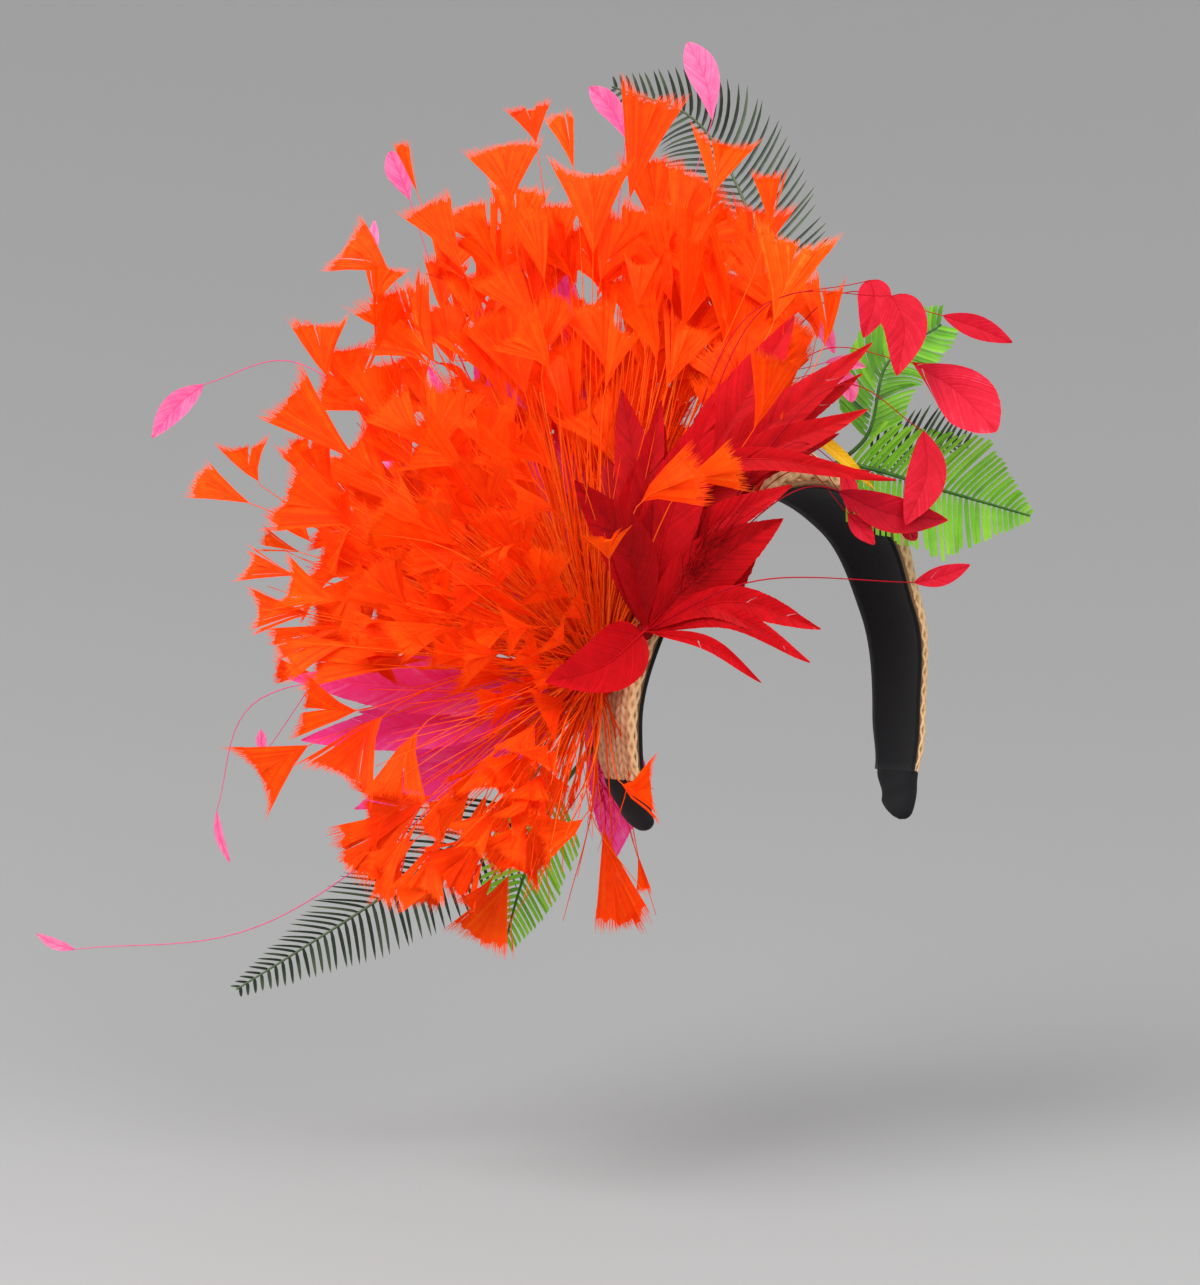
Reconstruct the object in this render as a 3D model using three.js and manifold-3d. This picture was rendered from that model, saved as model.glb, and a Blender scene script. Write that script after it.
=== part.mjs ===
// A feather fascinator: a straw-braid headband with a black lining and black end sleeves,
// carrying a spray of orange fan-tipped quills, red and pink plumes, and cut palm and fern fronds.
// Millimetres, +Z up. The wearer faces -Y, and the wearer's left is +X.
// The origin is under the middle of the band, where it sits on the crown of the head.
import * as THREE from "three";
import { mergeVertices } from "three/addons/utils/BufferGeometryUtils.js";
import Module from "manifold-3d";

const wasm = await Module();
wasm.setup();

// Headband: an arch over the head from ear to ear
const ARCH_HALF_WIDTH = 75; // inside, at the ears
const ARCH_HEIGHT = 100; // from the ears' level up to the crown
const LINING_WALL = 1;
const STRAW_WALL = 3;
const SLEEVE_WALL = 5;
const LINING_SHOWS = 0.9; // how far the lining stands out past the straw's edges
const GAP = 0.4; // between neighbouring pieces
const BAND_CROWN = 4; // how far the middle of the band is raised over its edges
const BAND_END_DEG = 104;
const SLEEVE_END_DEG = 117;
const BAND_STEPS = 22;
const BAND_ACROSS = [-1, -0.55, 0, 0.55, 1]; // where the wall's points lie across the band
const CROWN_FADE = 1.4; // how slowly the raised middle flattens towards the ends
const SLEEVE_INSET = 0.5; // how far a sleeve reaches inside the lining
const SLEEVE_START_DEG = 1; // between the straw's end and the sleeve
const SLEEVE_STEPS = 4;
// Each row is a section of the band: its angle from the crown, its width, where the middle of that
// width lies along Y, and how far it stands off the arch.
const BAND_SECTIONS = [
  { deg: 0, width: 50, middle: -5, lift: 4 },
  { deg: 30, width: 46, middle: -8, lift: 2 },
  { deg: 60, width: 40, middle: -15, lift: 0 },
  { deg: 90, width: 34, middle: -22, lift: 0 },
  { deg: 104, width: 28, middle: -20, lift: 0 },
  { deg: 112, width: 22, middle: -15, lift: 0 },
  { deg: 117, width: 12, middle: -11, lift: 0 },
];

// The side view that the feathers are set out in: from behind the wearer's left shoulder.
// A spot in it is right, up and near, with near towards the viewer, all from the origin.
const VIEW_AZIMUTH_DEG = 150;
const VIEW_DISTANCE = 1100;
const SIGHT_RIGHT = -85.5; // where the line of sight passes the origin
const SIGHT_UP = -64;

// Feather stock
const VANE_WALL = 1.2;
const VANE_CUP = 0.16; // how far a cupped vane's edges stand over its middle, for each mm of half width
const QUILL_HALF = 0.8; // half the width of a bare quill
const QUILL_BOW = 4; // how far a quill is bowed up at its middle
const QUILL_BEND_SHARE = 0.55; // where along it a quill bends
const ROOT_STANDOFF = 2; // how far a single root stands off the straw
const LEAF_FULLNESS = 0.85; // under 1 a leaf is widest before its middle
const RIB_HALF = 1.2; // half the width of a frond's rib
const LEAFLET_LIFT = 0.12; // how far a leaflet leaves the frond's plane, for each mm of its length
const LEAFLET_TIP = 0.7; // a leaflet's width at its tip, as a share of its width at the rib
const STALK_SHARES = [0, 0.35, 0.7]; // where the bare stalk has its cross-bars
const LEAF_STEPS = 4;
const STEM_STEPS = 5;
const PADDLE_STEPS = 3;
const DOME_SIDES = 10;
const DOME_RINGS = 6;
const DOME_CLEAR = 0.3; // between a binding and the straw

const COLOURS = {
  straw: 0xd9a066,
  black: 0x0b0a0c,
  orange: 0xff4a08,
  red: 0xc8081c,
  pink: 0xf4318c,
  green: 0x5f9a2c,
  fern: 0x1d2a1c,
  yellow: 0xe0b020,
};

// Where each bunch is bound to the band: the angle round the arch, the place across the band
// from its front edge at -1 to its rear edge at 1, and the size of the binding.
const BINDINGS = {
  orange: { deg: 78, across: 0.05, radius: 13, height: 8 },
  red: { deg: 68, across: 0.98, radius: 8, height: 6 },
  pink: { deg: 80, across: -1.1, radius: 8, height: 6 },
};

// Orange quills: where the fan's end lies, the fan's length and width, how far it is turned
// from the quill's line, and how far its face is rolled away from the viewer.
const ORANGE_FANS = [
  { right: -201, up: 116, near: 10, length: 26, width: 30, turn: 25, roll: 15 },
  { right: -182, up: 106, near: 25, length: 19, width: 20, turn: -40, roll: 10 },
  { right: -212, up: 81, near: 30, length: 26, width: 25, turn: -30, roll: 0 },
  { right: -176, up: 160, near: 5, length: 24, width: 8, turn: 0, roll: 30 },
  { right: -164, up: 133, near: 20, length: 30, width: 26, turn: 10, roll: 25 },
  { right: -118, up: 178, near: 0, length: 18, width: 19, turn: 5, roll: 0 },
  { right: -130, up: 161, near: 25, length: 27, width: 34, turn: 0, roll: 0 },
  { right: -104, up: 176, near: 30, length: 27, width: 12, turn: 10, roll: 20 },
  { right: -89, up: 157, near: 45, length: 44, width: 36, turn: 0, roll: 0 },
  { right: -61, up: 184, near: 15, length: 50, width: 30, turn: -8, roll: 10 },
  { right: -29, up: 164, near: 5, length: 28, width: 30, turn: 0, roll: 0 },
  { right: -10, up: 147, near: 30, length: 24, width: 16, turn: 20, roll: 20 },
  { right: 12, up: 124, near: 35, length: 46, width: 46, turn: 10, roll: 5 },
  { right: 16, up: 98, near: 50, length: 28, width: 18, turn: 30, roll: 30 },
  { right: -4, up: 68, near: 78, length: 36, width: 26, turn: 12, roll: 20 },
  { right: -230, up: 46, near: 55, length: 42, width: 30, turn: 0, roll: 20 },
  { right: -246, up: 27, near: 15, length: 20, width: 22, turn: -35, roll: 0 },
  { right: -268, up: 10, near: 25, length: 27, width: 18, turn: 0, roll: 20 },
  { right: -230, up: 4, near: 60, length: 40, width: 38, turn: 10, roll: 10 },
  { right: -246, up: -27, near: 20, length: 24, width: 18, turn: 0, roll: 30 },
  { right: -243, up: -50, near: 50, length: 26, width: 20, turn: 10, roll: 10 },
  { right: -233, up: -66, near: 10, length: 36, width: 15, turn: 20, roll: 10 },
  { right: -218, up: -72, near: 50, length: 40, width: 24, turn: 0, roll: 15 },
  { right: -222, up: -92, near: 60, length: 26, width: 26, turn: -15, roll: 0 },
  { right: -246, up: -127, near: 15, length: 34, width: 34, turn: 10, roll: 0 },
  { right: -178, up: -133, near: 80, length: 32, width: 26, turn: 40, roll: 0 },
  { right: -204, up: -128, near: 45, length: 36, width: 36, turn: 30, roll: 10 },
  { right: -202, up: -164, near: 20, length: 46, width: 36, turn: 0, roll: 10 },
  { right: -184, up: -182, near: 35, length: 40, width: 12, turn: 20, roll: 10 },
  { right: -160, up: -171, near: 50, length: 33, width: 27, turn: -10, roll: 0 },
  { right: -140, up: -200, near: 30, length: 33, width: 30, turn: 0, roll: 0 },
  { right: -124, up: -173, near: 60, length: 26, width: 22, turn: 0, roll: 0 },
  { right: -74, up: -194, near: 40, length: 46, width: 26, turn: 5, roll: 10 },
  { right: -65, up: -177, near: 20, length: 18, width: 7, turn: 0, roll: 20 },
  { right: -58, up: -130, near: 72, length: 22, width: 26, turn: 55, roll: 0 },
  { right: -42, up: 11, near: 104, length: 33, width: 26, turn: -40, roll: 0 },
  { right: -23, up: 14, near: 90, length: 26, width: 24, turn: -42, roll: 20 },
  { right: -84, up: -12, near: 118, length: 22, width: 21, turn: 10, roll: 0 },
];
// How far the body of the spray reaches from its binding, by its heading in the side view.
const SPRAY_REACH = [
  { heading: 60, reach: 190 },
  { heading: 73, reach: 214 },
  { heading: 100, reach: 222 },
  { heading: 125, reach: 194 },
  { heading: 146, reach: 172 },
  { heading: 160, reach: 170 },
  { heading: 182, reach: 156 },
  { heading: 200, reach: 142 },
  { heading: 223, reach: 152 },
  { heading: 246, reach: 144 },
  { heading: 262, reach: 130 },
];
// The body's quills by zone: their headings, their share of that reach and how near they come,
// each from a first to a last value, how many there are, and the size of their fans.
const SPRAY_ZONES = [
  { heading: [66, 146], share: [0.84, 0.96], near: [0, 40], quills: 10, length: 34, width: 34 },
  { heading: [146, 188], share: [0.68, 0.92], near: [0, 50], quills: 5, length: 32, width: 32 },
  { heading: [70, 150], share: [0.6, 0.84], near: [-34, -8], quills: 9, length: 36, width: 36 },
  { heading: [150, 186], share: [0.52, 0.76], near: [-34, -4], quills: 4, length: 34, width: 34 },
  { heading: [84, 126], share: [0.58, 0.74], near: [32, 68], quills: 4, length: 32, width: 32 },
  { heading: [114, 186], share: [0.42, 0.68], near: [52, 104], quills: 7, length: 32, width: 32 },
  { heading: [112, 196], share: [0.22, 0.32], near: [80, 106], quills: 3, length: 26, width: 28 },
  { heading: [188, 222], share: [0.26, 0.38], near: [60, 92], quills: 2, length: 24, width: 26 },
  { heading: [222, 258], share: [0.42, 0.66], near: [48, 90], quills: 5, length: 28, width: 30 },
  { heading: [224, 258], share: [0.72, 0.92], near: [6, 48], quills: 3, length: 30, width: 30 },
];
const SHARE_STRIDE = 0.618; // how far each quill's share moves on from the one before it
const NEAR_STRIDE = 0.382; // and how far its nearness does
const ROLL_STEP = 50; // how much more each quill is rolled than the one before it
const ROLL_SPAN = 90;

// Broad feathers: where the tip lies, the greatest width, and how far the line is bowed.
const RED_LEAVES = [
  { right: 2, up: 83, near: 38, width: 32, bow: 6 },
  { right: 37, up: 71, near: 46, width: 20, bow: 15 },
  { right: 35, up: 41, near: 60, width: 20, bow: 15 },
  { right: 40, up: 20, near: 74, width: 12, bow: 18 },
  { right: -3, up: -8, near: 92, width: 26, bow: 4 },
  { right: 14, up: -58, near: 110, width: 14, bow: 12 },
  { right: 9, up: -73, near: 112, width: 9, bow: 12 },
  { right: -13, up: -82, near: 110, width: 6, bow: 6 },
  { right: -58, up: 45, near: 60, width: 15, bow: 4 },
  { right: -97, up: 9, near: 90, width: 22, bow: -8 },
  { right: -110, up: -82, near: 92, width: 28, bow: 14 },
  { right: -34, up: 44, near: 70, width: 26, bow: 4 },
];
const PINK_LEAVES = [
  { right: -226, up: -80, near: -45, width: 26, bow: 4 },
  { right: -220, up: -108, near: -55, width: 24, bow: 4 },
  { right: -196, up: -139, near: -60, width: 24, bow: 6 },
  { right: -142, up: 94, near: -55, width: 24, bow: 6 },
  { right: -163, up: 61, near: -50, width: 18, bow: 4 },
  { right: -106, up: 128, near: -50, width: 22, bow: -4 },
  { right: -204, up: -4, near: -55, width: 22, bow: 4 },
  { right: -81, up: -163, near: -20, width: 22, bow: 8 },
  { right: -188, up: 30, near: -60, width: 20, bow: 5 },
];
// Stripped stems with a paddle left at the end: the stem's middle, the paddle's two ends and width.
const RED_PADDLES = [
  { bend: [-20, 82, 30], base: [35, 98, 24], tip: [35, 73, 28], width: 17 },
  { bend: [-10, 88, 34], base: [44, 90, 36], tip: [45, 55, 44], width: 22 },
  { bend: [20, 92, 10], base: [69, 83, 10], tip: [100, 71, 14], width: 10 },
  { bend: [10, 66, 42], base: [55, 62, 28], tip: [92, 32, 36], width: 24 },
  { bend: [22, 52, 60], base: [63, 29, 52], tip: [52, -10, 62], width: 16 },
  { bend: [6, 22, 66], base: [27, 4, 62], tip: [71, -9, 52], width: 15 },
  { bend: [-14, -36, 112], base: [56, -37, 84], tip: [81, -29, 80], width: 8 },
];
const PINK_PADDLES = [
  { bend: [-222, 62, -60], base: [-264, 52, -58], tip: [-287, 28, -56], width: 12 },
  { bend: [-242, -92, -70], base: [-258, -140, -66], tip: [-252, -163, -64], width: 4 },
  { bend: [-240, -192, -75], base: [-322, -202, -80], tip: [-339, -195, -80], width: 5 },
  { bend: [-150, 70, -62], base: [-171, 135, -58], tip: [-180, 157, -55], width: 12 },
  { bend: [-160, 60, -66], base: [-186, 113, -70], tip: [-187, 126, -72], width: 4 },
  { bend: [-82, 80, -60], base: [-74, 163, -62], tip: [-90, 186, -62], width: 11 },
  { bend: [-60, 90, -62], base: [-35, 171, -66], tip: [-46, 206, -68], width: 15 },
  { bend: [-200, -70, -78], base: [-236, -113, -84], tip: [-238, -103, -86], width: 5 },
];

// Fronds: the binding's angle and place across the band, the rib's spots, the leaflets' length at
// the foot, the middle and the tip, how many a side, how wide each is, and their sweep.
const FRONDS = [
  {
    name: "palm_right",
    colour: "green",
    deg: -8,
    across: 0.1,
    rib: [[26, 16, 5], [70, 4, 1], [108, -7, 0]],
    leaflets: { foot: 24, middle: 30, tip: 5, pairs: 12, width: 3.4, sweep: 66 },
    face: 10,
  },
  {
    name: "palm_up",
    colour: "green",
    deg: -14,
    across: -0.7,
    rib: [[34, 28, -36], [44, 62, -40], [68, 79, -42]],
    leaflets: { foot: 16, middle: 22, tip: 9, pairs: 9, width: 4, sweep: 54 },
    face: 0,
  },
  {
    name: "palm_low",
    colour: "green",
    deg: 96,
    across: -0.95,
    rib: [[-104, -132, -26], [-120, -170, -34], [-128, -198, -38]],
    leaflets: { foot: 26, middle: 24, tip: 6, pairs: 10, width: 3.4, sweep: 52 },
    face: 20,
  },
  {
    name: "fern_top",
    colour: "fern",
    deg: 10,
    across: -1,
    rib: [[-10, 92, -70], [-24, 142, -78], [-44, 172, -82], [-80, 186, -84]],
    leaflets: { foot: 40, middle: 36, tip: 5, pairs: 14, width: 2.2, sweep: 62 },
    face: 0,
  },
  {
    name: "fern_low",
    colour: "fern",
    deg: 88,
    across: -1.05,
    rib: [[-128, -136, -72], [-180, -176, -84], [-220, -202, -88], [-249, -220, -90]],
    leaflets: { foot: 30, middle: 30, tip: 4, pairs: 14, width: 2.2, sweep: 62 },
    face: 0,
  },
  {
    name: "fern_right",
    colour: "fern",
    deg: -30,
    across: -0.6,
    rib: [[36, 14, -46], [54, 22, -52], [80, 25, -54]],
    leaflets: { foot: 20, middle: 23, tip: 6, pairs: 8, width: 2.2, sweep: 62 },
    face: 0,
  },
];
const YELLOW_BIOT = {
  deg: 4,
  across: 0.45,
  bend: [2, 36, 26],
  base: [10, 31, 28],
  tip: [38, 5, 32],
  width: 6,
};

const radians = THREE.MathUtils.degToRad;
const azimuth = radians(VIEW_AZIMUTH_DEG);
const VIEW_RIGHT = new THREE.Vector3(Math.cos(azimuth), Math.sin(azimuth), 0);
const VIEW_UP = new THREE.Vector3(0, 0, 1);
const VIEW_NEAR = new THREE.Vector3(Math.sin(azimuth), -Math.cos(azimuth), 0);

function viewVector(right, up, near) {
  return new THREE.Vector3()
    .addScaledVector(VIEW_RIGHT, right)
    .addScaledVector(VIEW_UP, up)
    .addScaledVector(VIEW_NEAR, near);
}

// A spot of the side view: its place as seen at the origin's distance, moved along the line of sight.
function spot(right, up, near) {
  const share = (VIEW_DISTANCE - near) / VIEW_DISTANCE;
  return viewVector(
    SIGHT_RIGHT + (right - SIGHT_RIGHT) * share,
    SIGHT_UP + (up - SIGHT_UP) * share,
    near,
  );
}

// The value of a column of the band's table at an angle, smooth between rows.
function bandColumn(column, deg) {
  const rows = BAND_SECTIONS;
  const at = Math.min(Math.abs(deg), rows.at(-1).deg);
  const next = Math.max(1, rows.findIndex((row) => row.deg >= at));
  const [a, b] = [rows[next - 1], rows[next]];
  const share = THREE.MathUtils.smoothstep(at, a.deg, b.deg);
  return THREE.MathUtils.lerp(a[column], b[column], share);
}

// A point of the band: across runs from -1 at the front edge to 1 at the rear edge, off is outwards.
function bandPoint(deg, across, off, margin = 0) {
  const turn = radians(deg);
  const crown = BAND_CROWN * (1 - Math.min(1, across * across));
  const out = off + crown * Math.cos(turn / CROWN_FADE) + bandColumn("lift", deg);
  return new THREE.Vector3(
    (ARCH_HALF_WIDTH + out) * Math.sin(turn),
    bandColumn("middle", deg) + across * (bandColumn("width", deg) / 2 + margin),
    (ARCH_HEIGHT + out) * Math.cos(turn) - ARCH_HEIGHT,
  );
}

// The way out of the band's surface at an angle.
function bandNormal(deg) {
  const turn = radians(deg);
  return new THREE.Vector3(Math.sin(turn), 0, Math.cos(turn));
}

// A three.js geometry as a solid, turned to face out.
function solidOf(geometry) {
  const bare = new THREE.BufferGeometry();
  bare.setAttribute("position", geometry.getAttribute("position"));
  if (geometry.index) bare.setIndex(geometry.index);
  const merged = mergeVertices(bare, 1e-4);
  const triVerts = new Uint32Array(merged.index.array);
  const make = () =>
    new wasm.Manifold(
      new wasm.Mesh({ numProp: 3, vertProperties: merged.attributes.position.array, triVerts }),
    );
  const made = make();
  if (made.volume() > 0) return made;
  for (let i = 0; i < triVerts.length; i += 3) {
    [triVerts[i + 1], triVerts[i + 2]] = [triVerts[i + 2], triVerts[i + 1]];
  }
  return make();
}

// A closed shell of even thickness over a sheet of four-cornered faces, half of it on each side.
function shell(points, normals, faces, thickness) {
  const count = points.length;
  const positions = [0.5, -0.5].flatMap((side) =>
    points.flatMap((point, i) => [...point.clone().addScaledVector(normals[i], side * thickness)]),
  );
  const index = [];
  const edges = new Set(faces.flatMap((face) => face.map((a, k) => `${a},${face[(k + 1) % 4]}`)));
  for (const [a, b, c, d] of faces) {
    index.push(a, b, c, a, c, d);
    index.push(count + a, count + c, count + b, count + a, count + d, count + c);
  }
  for (const edge of edges) {
    const [a, b] = edge.split(",").map(Number);
    if (!edges.has(`${b},${a}`)) index.push(b, a, count + a, b, count + a, count + b);
  }
  const geometry = new THREE.BufferGeometry();
  geometry.setAttribute("position", new THREE.Float32BufferAttribute(positions, 3));
  geometry.setIndex(index);
  return solidOf(geometry);
}

// A closed wall over a grid of points.
function wall(grid, thickness) {
  const rows = grid.length;
  const columns = grid[0].length;
  const normals = grid.flatMap((row, i) => row.map((_, j) => {
    const along = grid[Math.min(i + 1, rows - 1)][j].clone().sub(grid[Math.max(i - 1, 0)][j]);
    const across = row[Math.min(j + 1, columns - 1)].clone().sub(row[Math.max(j - 1, 0)]);
    return along.cross(across).normalize();
  }));
  const faces = [];
  for (let i = 0; i + 1 < rows; i++) {
    for (let j = 0; j + 1 < columns; j++) {
      const corner = i * columns + j;
      faces.push([corner, corner + columns, corner + columns + 1, corner + 1]);
    }
  }
  return shell(grid.flat(), normals, faces, thickness);
}

// A strip through stations, each a place and a half width, facing one way. A strip of three columns
// is cupped along its middle, and one of two is flat.
function strip(stations, facing, columns, grow) {
  const grid = stations.map(({ at, half }, i) => {
    const before = stations[Math.max(i - 1, 0)].at;
    const after = stations[Math.min(i + 1, stations.length - 1)].at;
    const side = after.clone().sub(before).cross(facing).normalize();
    const cup = facing.clone().multiplyScalar(half * VANE_CUP);
    const edges = columns === 2 ? [-1, 1] : [-1, 0, 1];
    return edges.map((edge) => {
      const point = at.clone().addScaledVector(side, edge * (half + grow));
      return edge === 0 || columns === 2 ? point : point.add(cup);
    });
  });
  return wall(grid, VANE_WALL + 2 * grow);
}

function smoothLine(points) {
  return new THREE.CatmullRomCurve3(points, false, "centripetal");
}

// The half width of a leaf-shaped vane at a share of its length, widest before its middle.
function leafHalf(width, share) {
  return QUILL_HALF + (width / 2) * Math.sin(Math.PI * Math.pow(share, LEAF_FULLNESS));
}

function join(solids) {
  return solids.reduce((whole, next) => whole.add(next));
}

// The largest connected body of a solid, which drops the crumbs that a cut leaves.
function largestBody(solid) {
  const { vertProperties, triVerts, numVert } = solid.getMesh();
  const leader = Int32Array.from({ length: numVert }, (_, i) => i);
  const find = (i) => {
    while (leader[i] !== i) i = leader[i] = leader[leader[i]];
    return i;
  };
  for (let i = 0; i < triVerts.length; i += 3) {
    leader[find(triVerts[i])] = find(triVerts[i + 1]);
    leader[find(triVerts[i + 1])] = find(triVerts[i + 2]);
  }
  const groups = new Map();
  for (let i = 0; i < triVerts.length; i += 3) {
    const key = find(triVerts[i]);
    if (!groups.has(key)) groups.set(key, []);
    groups.get(key).push(triVerts[i], triVerts[i + 1], triVerts[i + 2]);
  }
  const most = [...groups.values()].reduce((a, b) => (b.length > a.length ? b : a));
  const geometry = new THREE.BufferGeometry();
  geometry.setAttribute("position", new THREE.BufferAttribute(vertProperties, 3));
  geometry.setIndex(most);
  return solidOf(geometry.toNonIndexed());
}

// The binding of a bunch: a flattened dome standing on the band.
function binding({ deg, across, radius, height }, grow) {
  const dome = new THREE.SphereGeometry(1, DOME_SIDES, DOME_RINGS);
  dome.scale(radius + grow, radius + grow, height + grow);
  const out = bandNormal(deg);
  dome.applyQuaternion(new THREE.Quaternion().setFromUnitVectors(VIEW_UP, out));
  dome.translate(...bindingCentre({ deg, across, height }));
  return solidOf(dome);
}

function bindingCentre({ deg, across, height }) {
  const clear = LINING_WALL + 2 * GAP + STRAW_WALL + height;
  return bandPoint(deg, across, clear).addScaledVector(bandNormal(deg), DOME_CLEAR);
}

// A bare quill with a fan at its end.
function fanFeather(root, end, row, grow) {
  const line = end.clone().sub(root).normalize();
  const ahead = line.clone().applyAxisAngle(VIEW_NEAR, radians(row.turn));
  const facing = VIEW_NEAR.clone().applyAxisAngle(ahead, radians(row.roll));
  const point = end.clone().addScaledVector(ahead, -row.length);
  const bend = root.clone().lerp(point, QUILL_BEND_SHARE).addScaledVector(VIEW_UP, QUILL_BOW);
  const stations = [
    { at: root, half: QUILL_HALF },
    { at: bend, half: QUILL_HALF },
    { at: point, half: QUILL_HALF },
    { at: end, half: row.width / 2 },
  ];
  return strip(stations, facing, 2, grow);
}

// A broad feather from the binding out to its tip.
function broadFeather(root, row, grow) {
  const end = spot(row.right, row.up, row.near);
  const line = end.clone().sub(root);
  const side = new THREE.Vector3().crossVectors(VIEW_NEAR, line).normalize();
  const bend = root.clone().addScaledVector(line, 0.5).addScaledVector(side, row.bow);
  const curve = smoothLine([root, bend, end]);
  const facing = new THREE.Vector3().crossVectors(line, side).normalize();
  const stations = Array.from({ length: LEAF_STEPS + 1 }, (_, i) => {
    const share = i / LEAF_STEPS;
    return { at: curve.getPoint(share), half: leafHalf(row.width, share) };
  });
  return strip(stations, facing, 3, grow);
}

// A bare stem that ends in a paddle.
function paddleFeather(root, row, grow) {
  const [bend, base, tip] = [row.bend, row.base, row.tip].map((place) => spot(...place));
  const stem = smoothLine([root, bend, base]);
  const stations = [];
  for (let i = 0; i < STEM_STEPS; i++) stations.push({ at: stem.getPoint(i / STEM_STEPS), half: QUILL_HALF });
  for (let i = 0; i <= PADDLE_STEPS; i++) {
    const share = i / PADDLE_STEPS;
    const at = base.clone().lerp(tip, share);
    stations.push({ at, half: leafHalf(row.width, share) });
  }
  return strip(stations, VIEW_NEAR, 2, grow);
}

// The length of a frond's leaflets at a share of its blade.
function leafletLength({ foot, middle, tip }, share) {
  const { lerp } = THREE.MathUtils;
  return share < 0.5 ? lerp(foot, middle, share * 2) : lerp(middle, tip, share * 2 - 1);
}

// A frond: a rib of cross-bars, two for each pair of leaflets, and a leaflet out from each pair's ends.
function frond(row, grow) {
  const root = bandPoint(row.deg, row.across, LINING_WALL + STRAW_WALL + 2 * GAP);
  root.addScaledVector(bandNormal(row.deg), ROOT_STANDOFF);
  const spots = row.rib.map((place) => spot(...place));
  const stalk = smoothLine([root, ...spots]);
  const blade = smoothLine(spots);
  const { pairs, width, sweep } = row.leaflets;
  const points = [];
  const normals = [];
  const faces = [];
  const add = (point, normal) => {
    normals.push(normal);
    return points.push(point) - 1;
  };
  const frameAt = (curve, share) => {
    const ahead = curve.getTangentAt(share);
    const facing = VIEW_NEAR.clone().applyAxisAngle(ahead, radians(row.face));
    facing.addScaledVector(ahead, -facing.dot(ahead)).normalize();
    return { at: curve.getPointAt(share), ahead, facing, edge: facing.clone().cross(ahead) };
  };
  const bars = [];
  const crossBar = ({ at, facing, edge, ahead }, shift) => {
    const middle = at.clone().addScaledVector(ahead, shift);
    bars.push([1, -1].map((hand) =>
      add(middle.clone().addScaledVector(edge, hand * (RIB_HALF + grow)), facing),
    ));
  };
  const stalkShare = 1 - blade.getLength() / stalk.getLength();
  for (const share of STALK_SHARES) crossBar(frameAt(stalk, share * stalkShare), 0);
  const turn = radians(sweep);
  const half = width / 2 + grow;
  for (let i = 0; i < pairs; i++) {
    const share = (i + 0.5) / pairs;
    const frame = frameAt(blade, share);
    const length = leafletLength(row.leaflets, share);
    const shift = half / Math.sin(turn);
    for (const end of [-shift, shift]) crossBar(frame, end);
    const [low, high] = bars.slice(-2);
    [1, -1].forEach((hand, k) => {
      const out = frame.at.clone()
        .addScaledVector(frame.edge, hand * (RIB_HALF + length * Math.sin(turn)))
        .addScaledVector(frame.ahead, length * Math.cos(turn))
        .addScaledVector(frame.facing, LEAFLET_LIFT * length);
      const [lowTip, highTip] = [-LEAFLET_TIP, LEAFLET_TIP].map((end) =>
        add(out.clone().addScaledVector(frame.ahead, end * shift), frame.facing),
      );
      faces.push(hand > 0 ? [high[k], highTip, lowTip, low[k]] : [low[k], lowTip, highTip, high[k]]);
    });
  }
  crossBar(frameAt(blade, 1), 0);
  for (let i = 0; i + 1 < bars.length; i++) {
    faces.push([bars[i][0], bars[i][1], bars[i + 1][1], bars[i + 1][0]]);
  }
  return shell(points, normals, faces, VANE_WALL + 2 * grow);
}

// How far the body of the spray reaches along a heading.
function sprayReach(heading) {
  const last = SPRAY_REACH.findIndex((row) => row.heading >= heading);
  const [from, to] = [SPRAY_REACH[last - 1], SPRAY_REACH[last]];
  return THREE.MathUtils.mapLinear(heading, from.heading, to.heading, from.reach, to.reach);
}

// The quills that fill the body of the spray, zone by zone.
function sprayBody(root, grow) {
  const home = { right: root.dot(VIEW_RIGHT), up: root.dot(VIEW_UP) };
  const solids = [];
  for (const zone of SPRAY_ZONES) {
    for (let i = 0; i < zone.quills; i++) {
      const heading = THREE.MathUtils.lerp(...zone.heading, (i + 0.5) / zone.quills);
      const share = THREE.MathUtils.lerp(...zone.share, (i * SHARE_STRIDE) % 1);
      const near = THREE.MathUtils.lerp(...zone.near, (i * NEAR_STRIDE) % 1);
      const reach = sprayReach(heading) * share;
      const right = home.right + reach * Math.cos(radians(heading));
      const up = home.up + reach * Math.sin(radians(heading));
      const roll = ((i * ROLL_STEP) % ROLL_SPAN) - ROLL_SPAN / 2;
      solids.push(fanFeather(root, spot(right, up, near), { ...zone, turn: 0, roll }, grow));
    }
  }
  return solids;
}

function orangeSpray(grow) {
  const root = bindingCentre(BINDINGS.orange);
  const outline = ORANGE_FANS.map((row) =>
    fanFeather(root, spot(row.right, row.up, row.near), row, grow),
  );
  return join([binding(BINDINGS.orange, grow), ...outline, ...sprayBody(root, grow)]);
}

function plume(bound, leaves, paddles, grow) {
  const root = bindingCentre(bound);
  return join([
    binding(bound, grow),
    ...leaves.map((row) => broadFeather(root, row, grow)),
    ...paddles.map((row) => paddleFeather(root, row, grow)),
  ]);
}

// A run of the band's wall between two angles, at a distance off the arch.
function bandWall(fromDeg, toDeg, off, thickness, margin, steps) {
  const grid = [];
  for (let i = 0; i <= steps; i++) {
    const deg = THREE.MathUtils.lerp(fromDeg, toDeg, i / steps);
    grid.push(BAND_ACROSS.map((across) => bandPoint(deg, across, off + thickness / 2, margin)));
  }
  return wall(grid, thickness);
}

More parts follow.
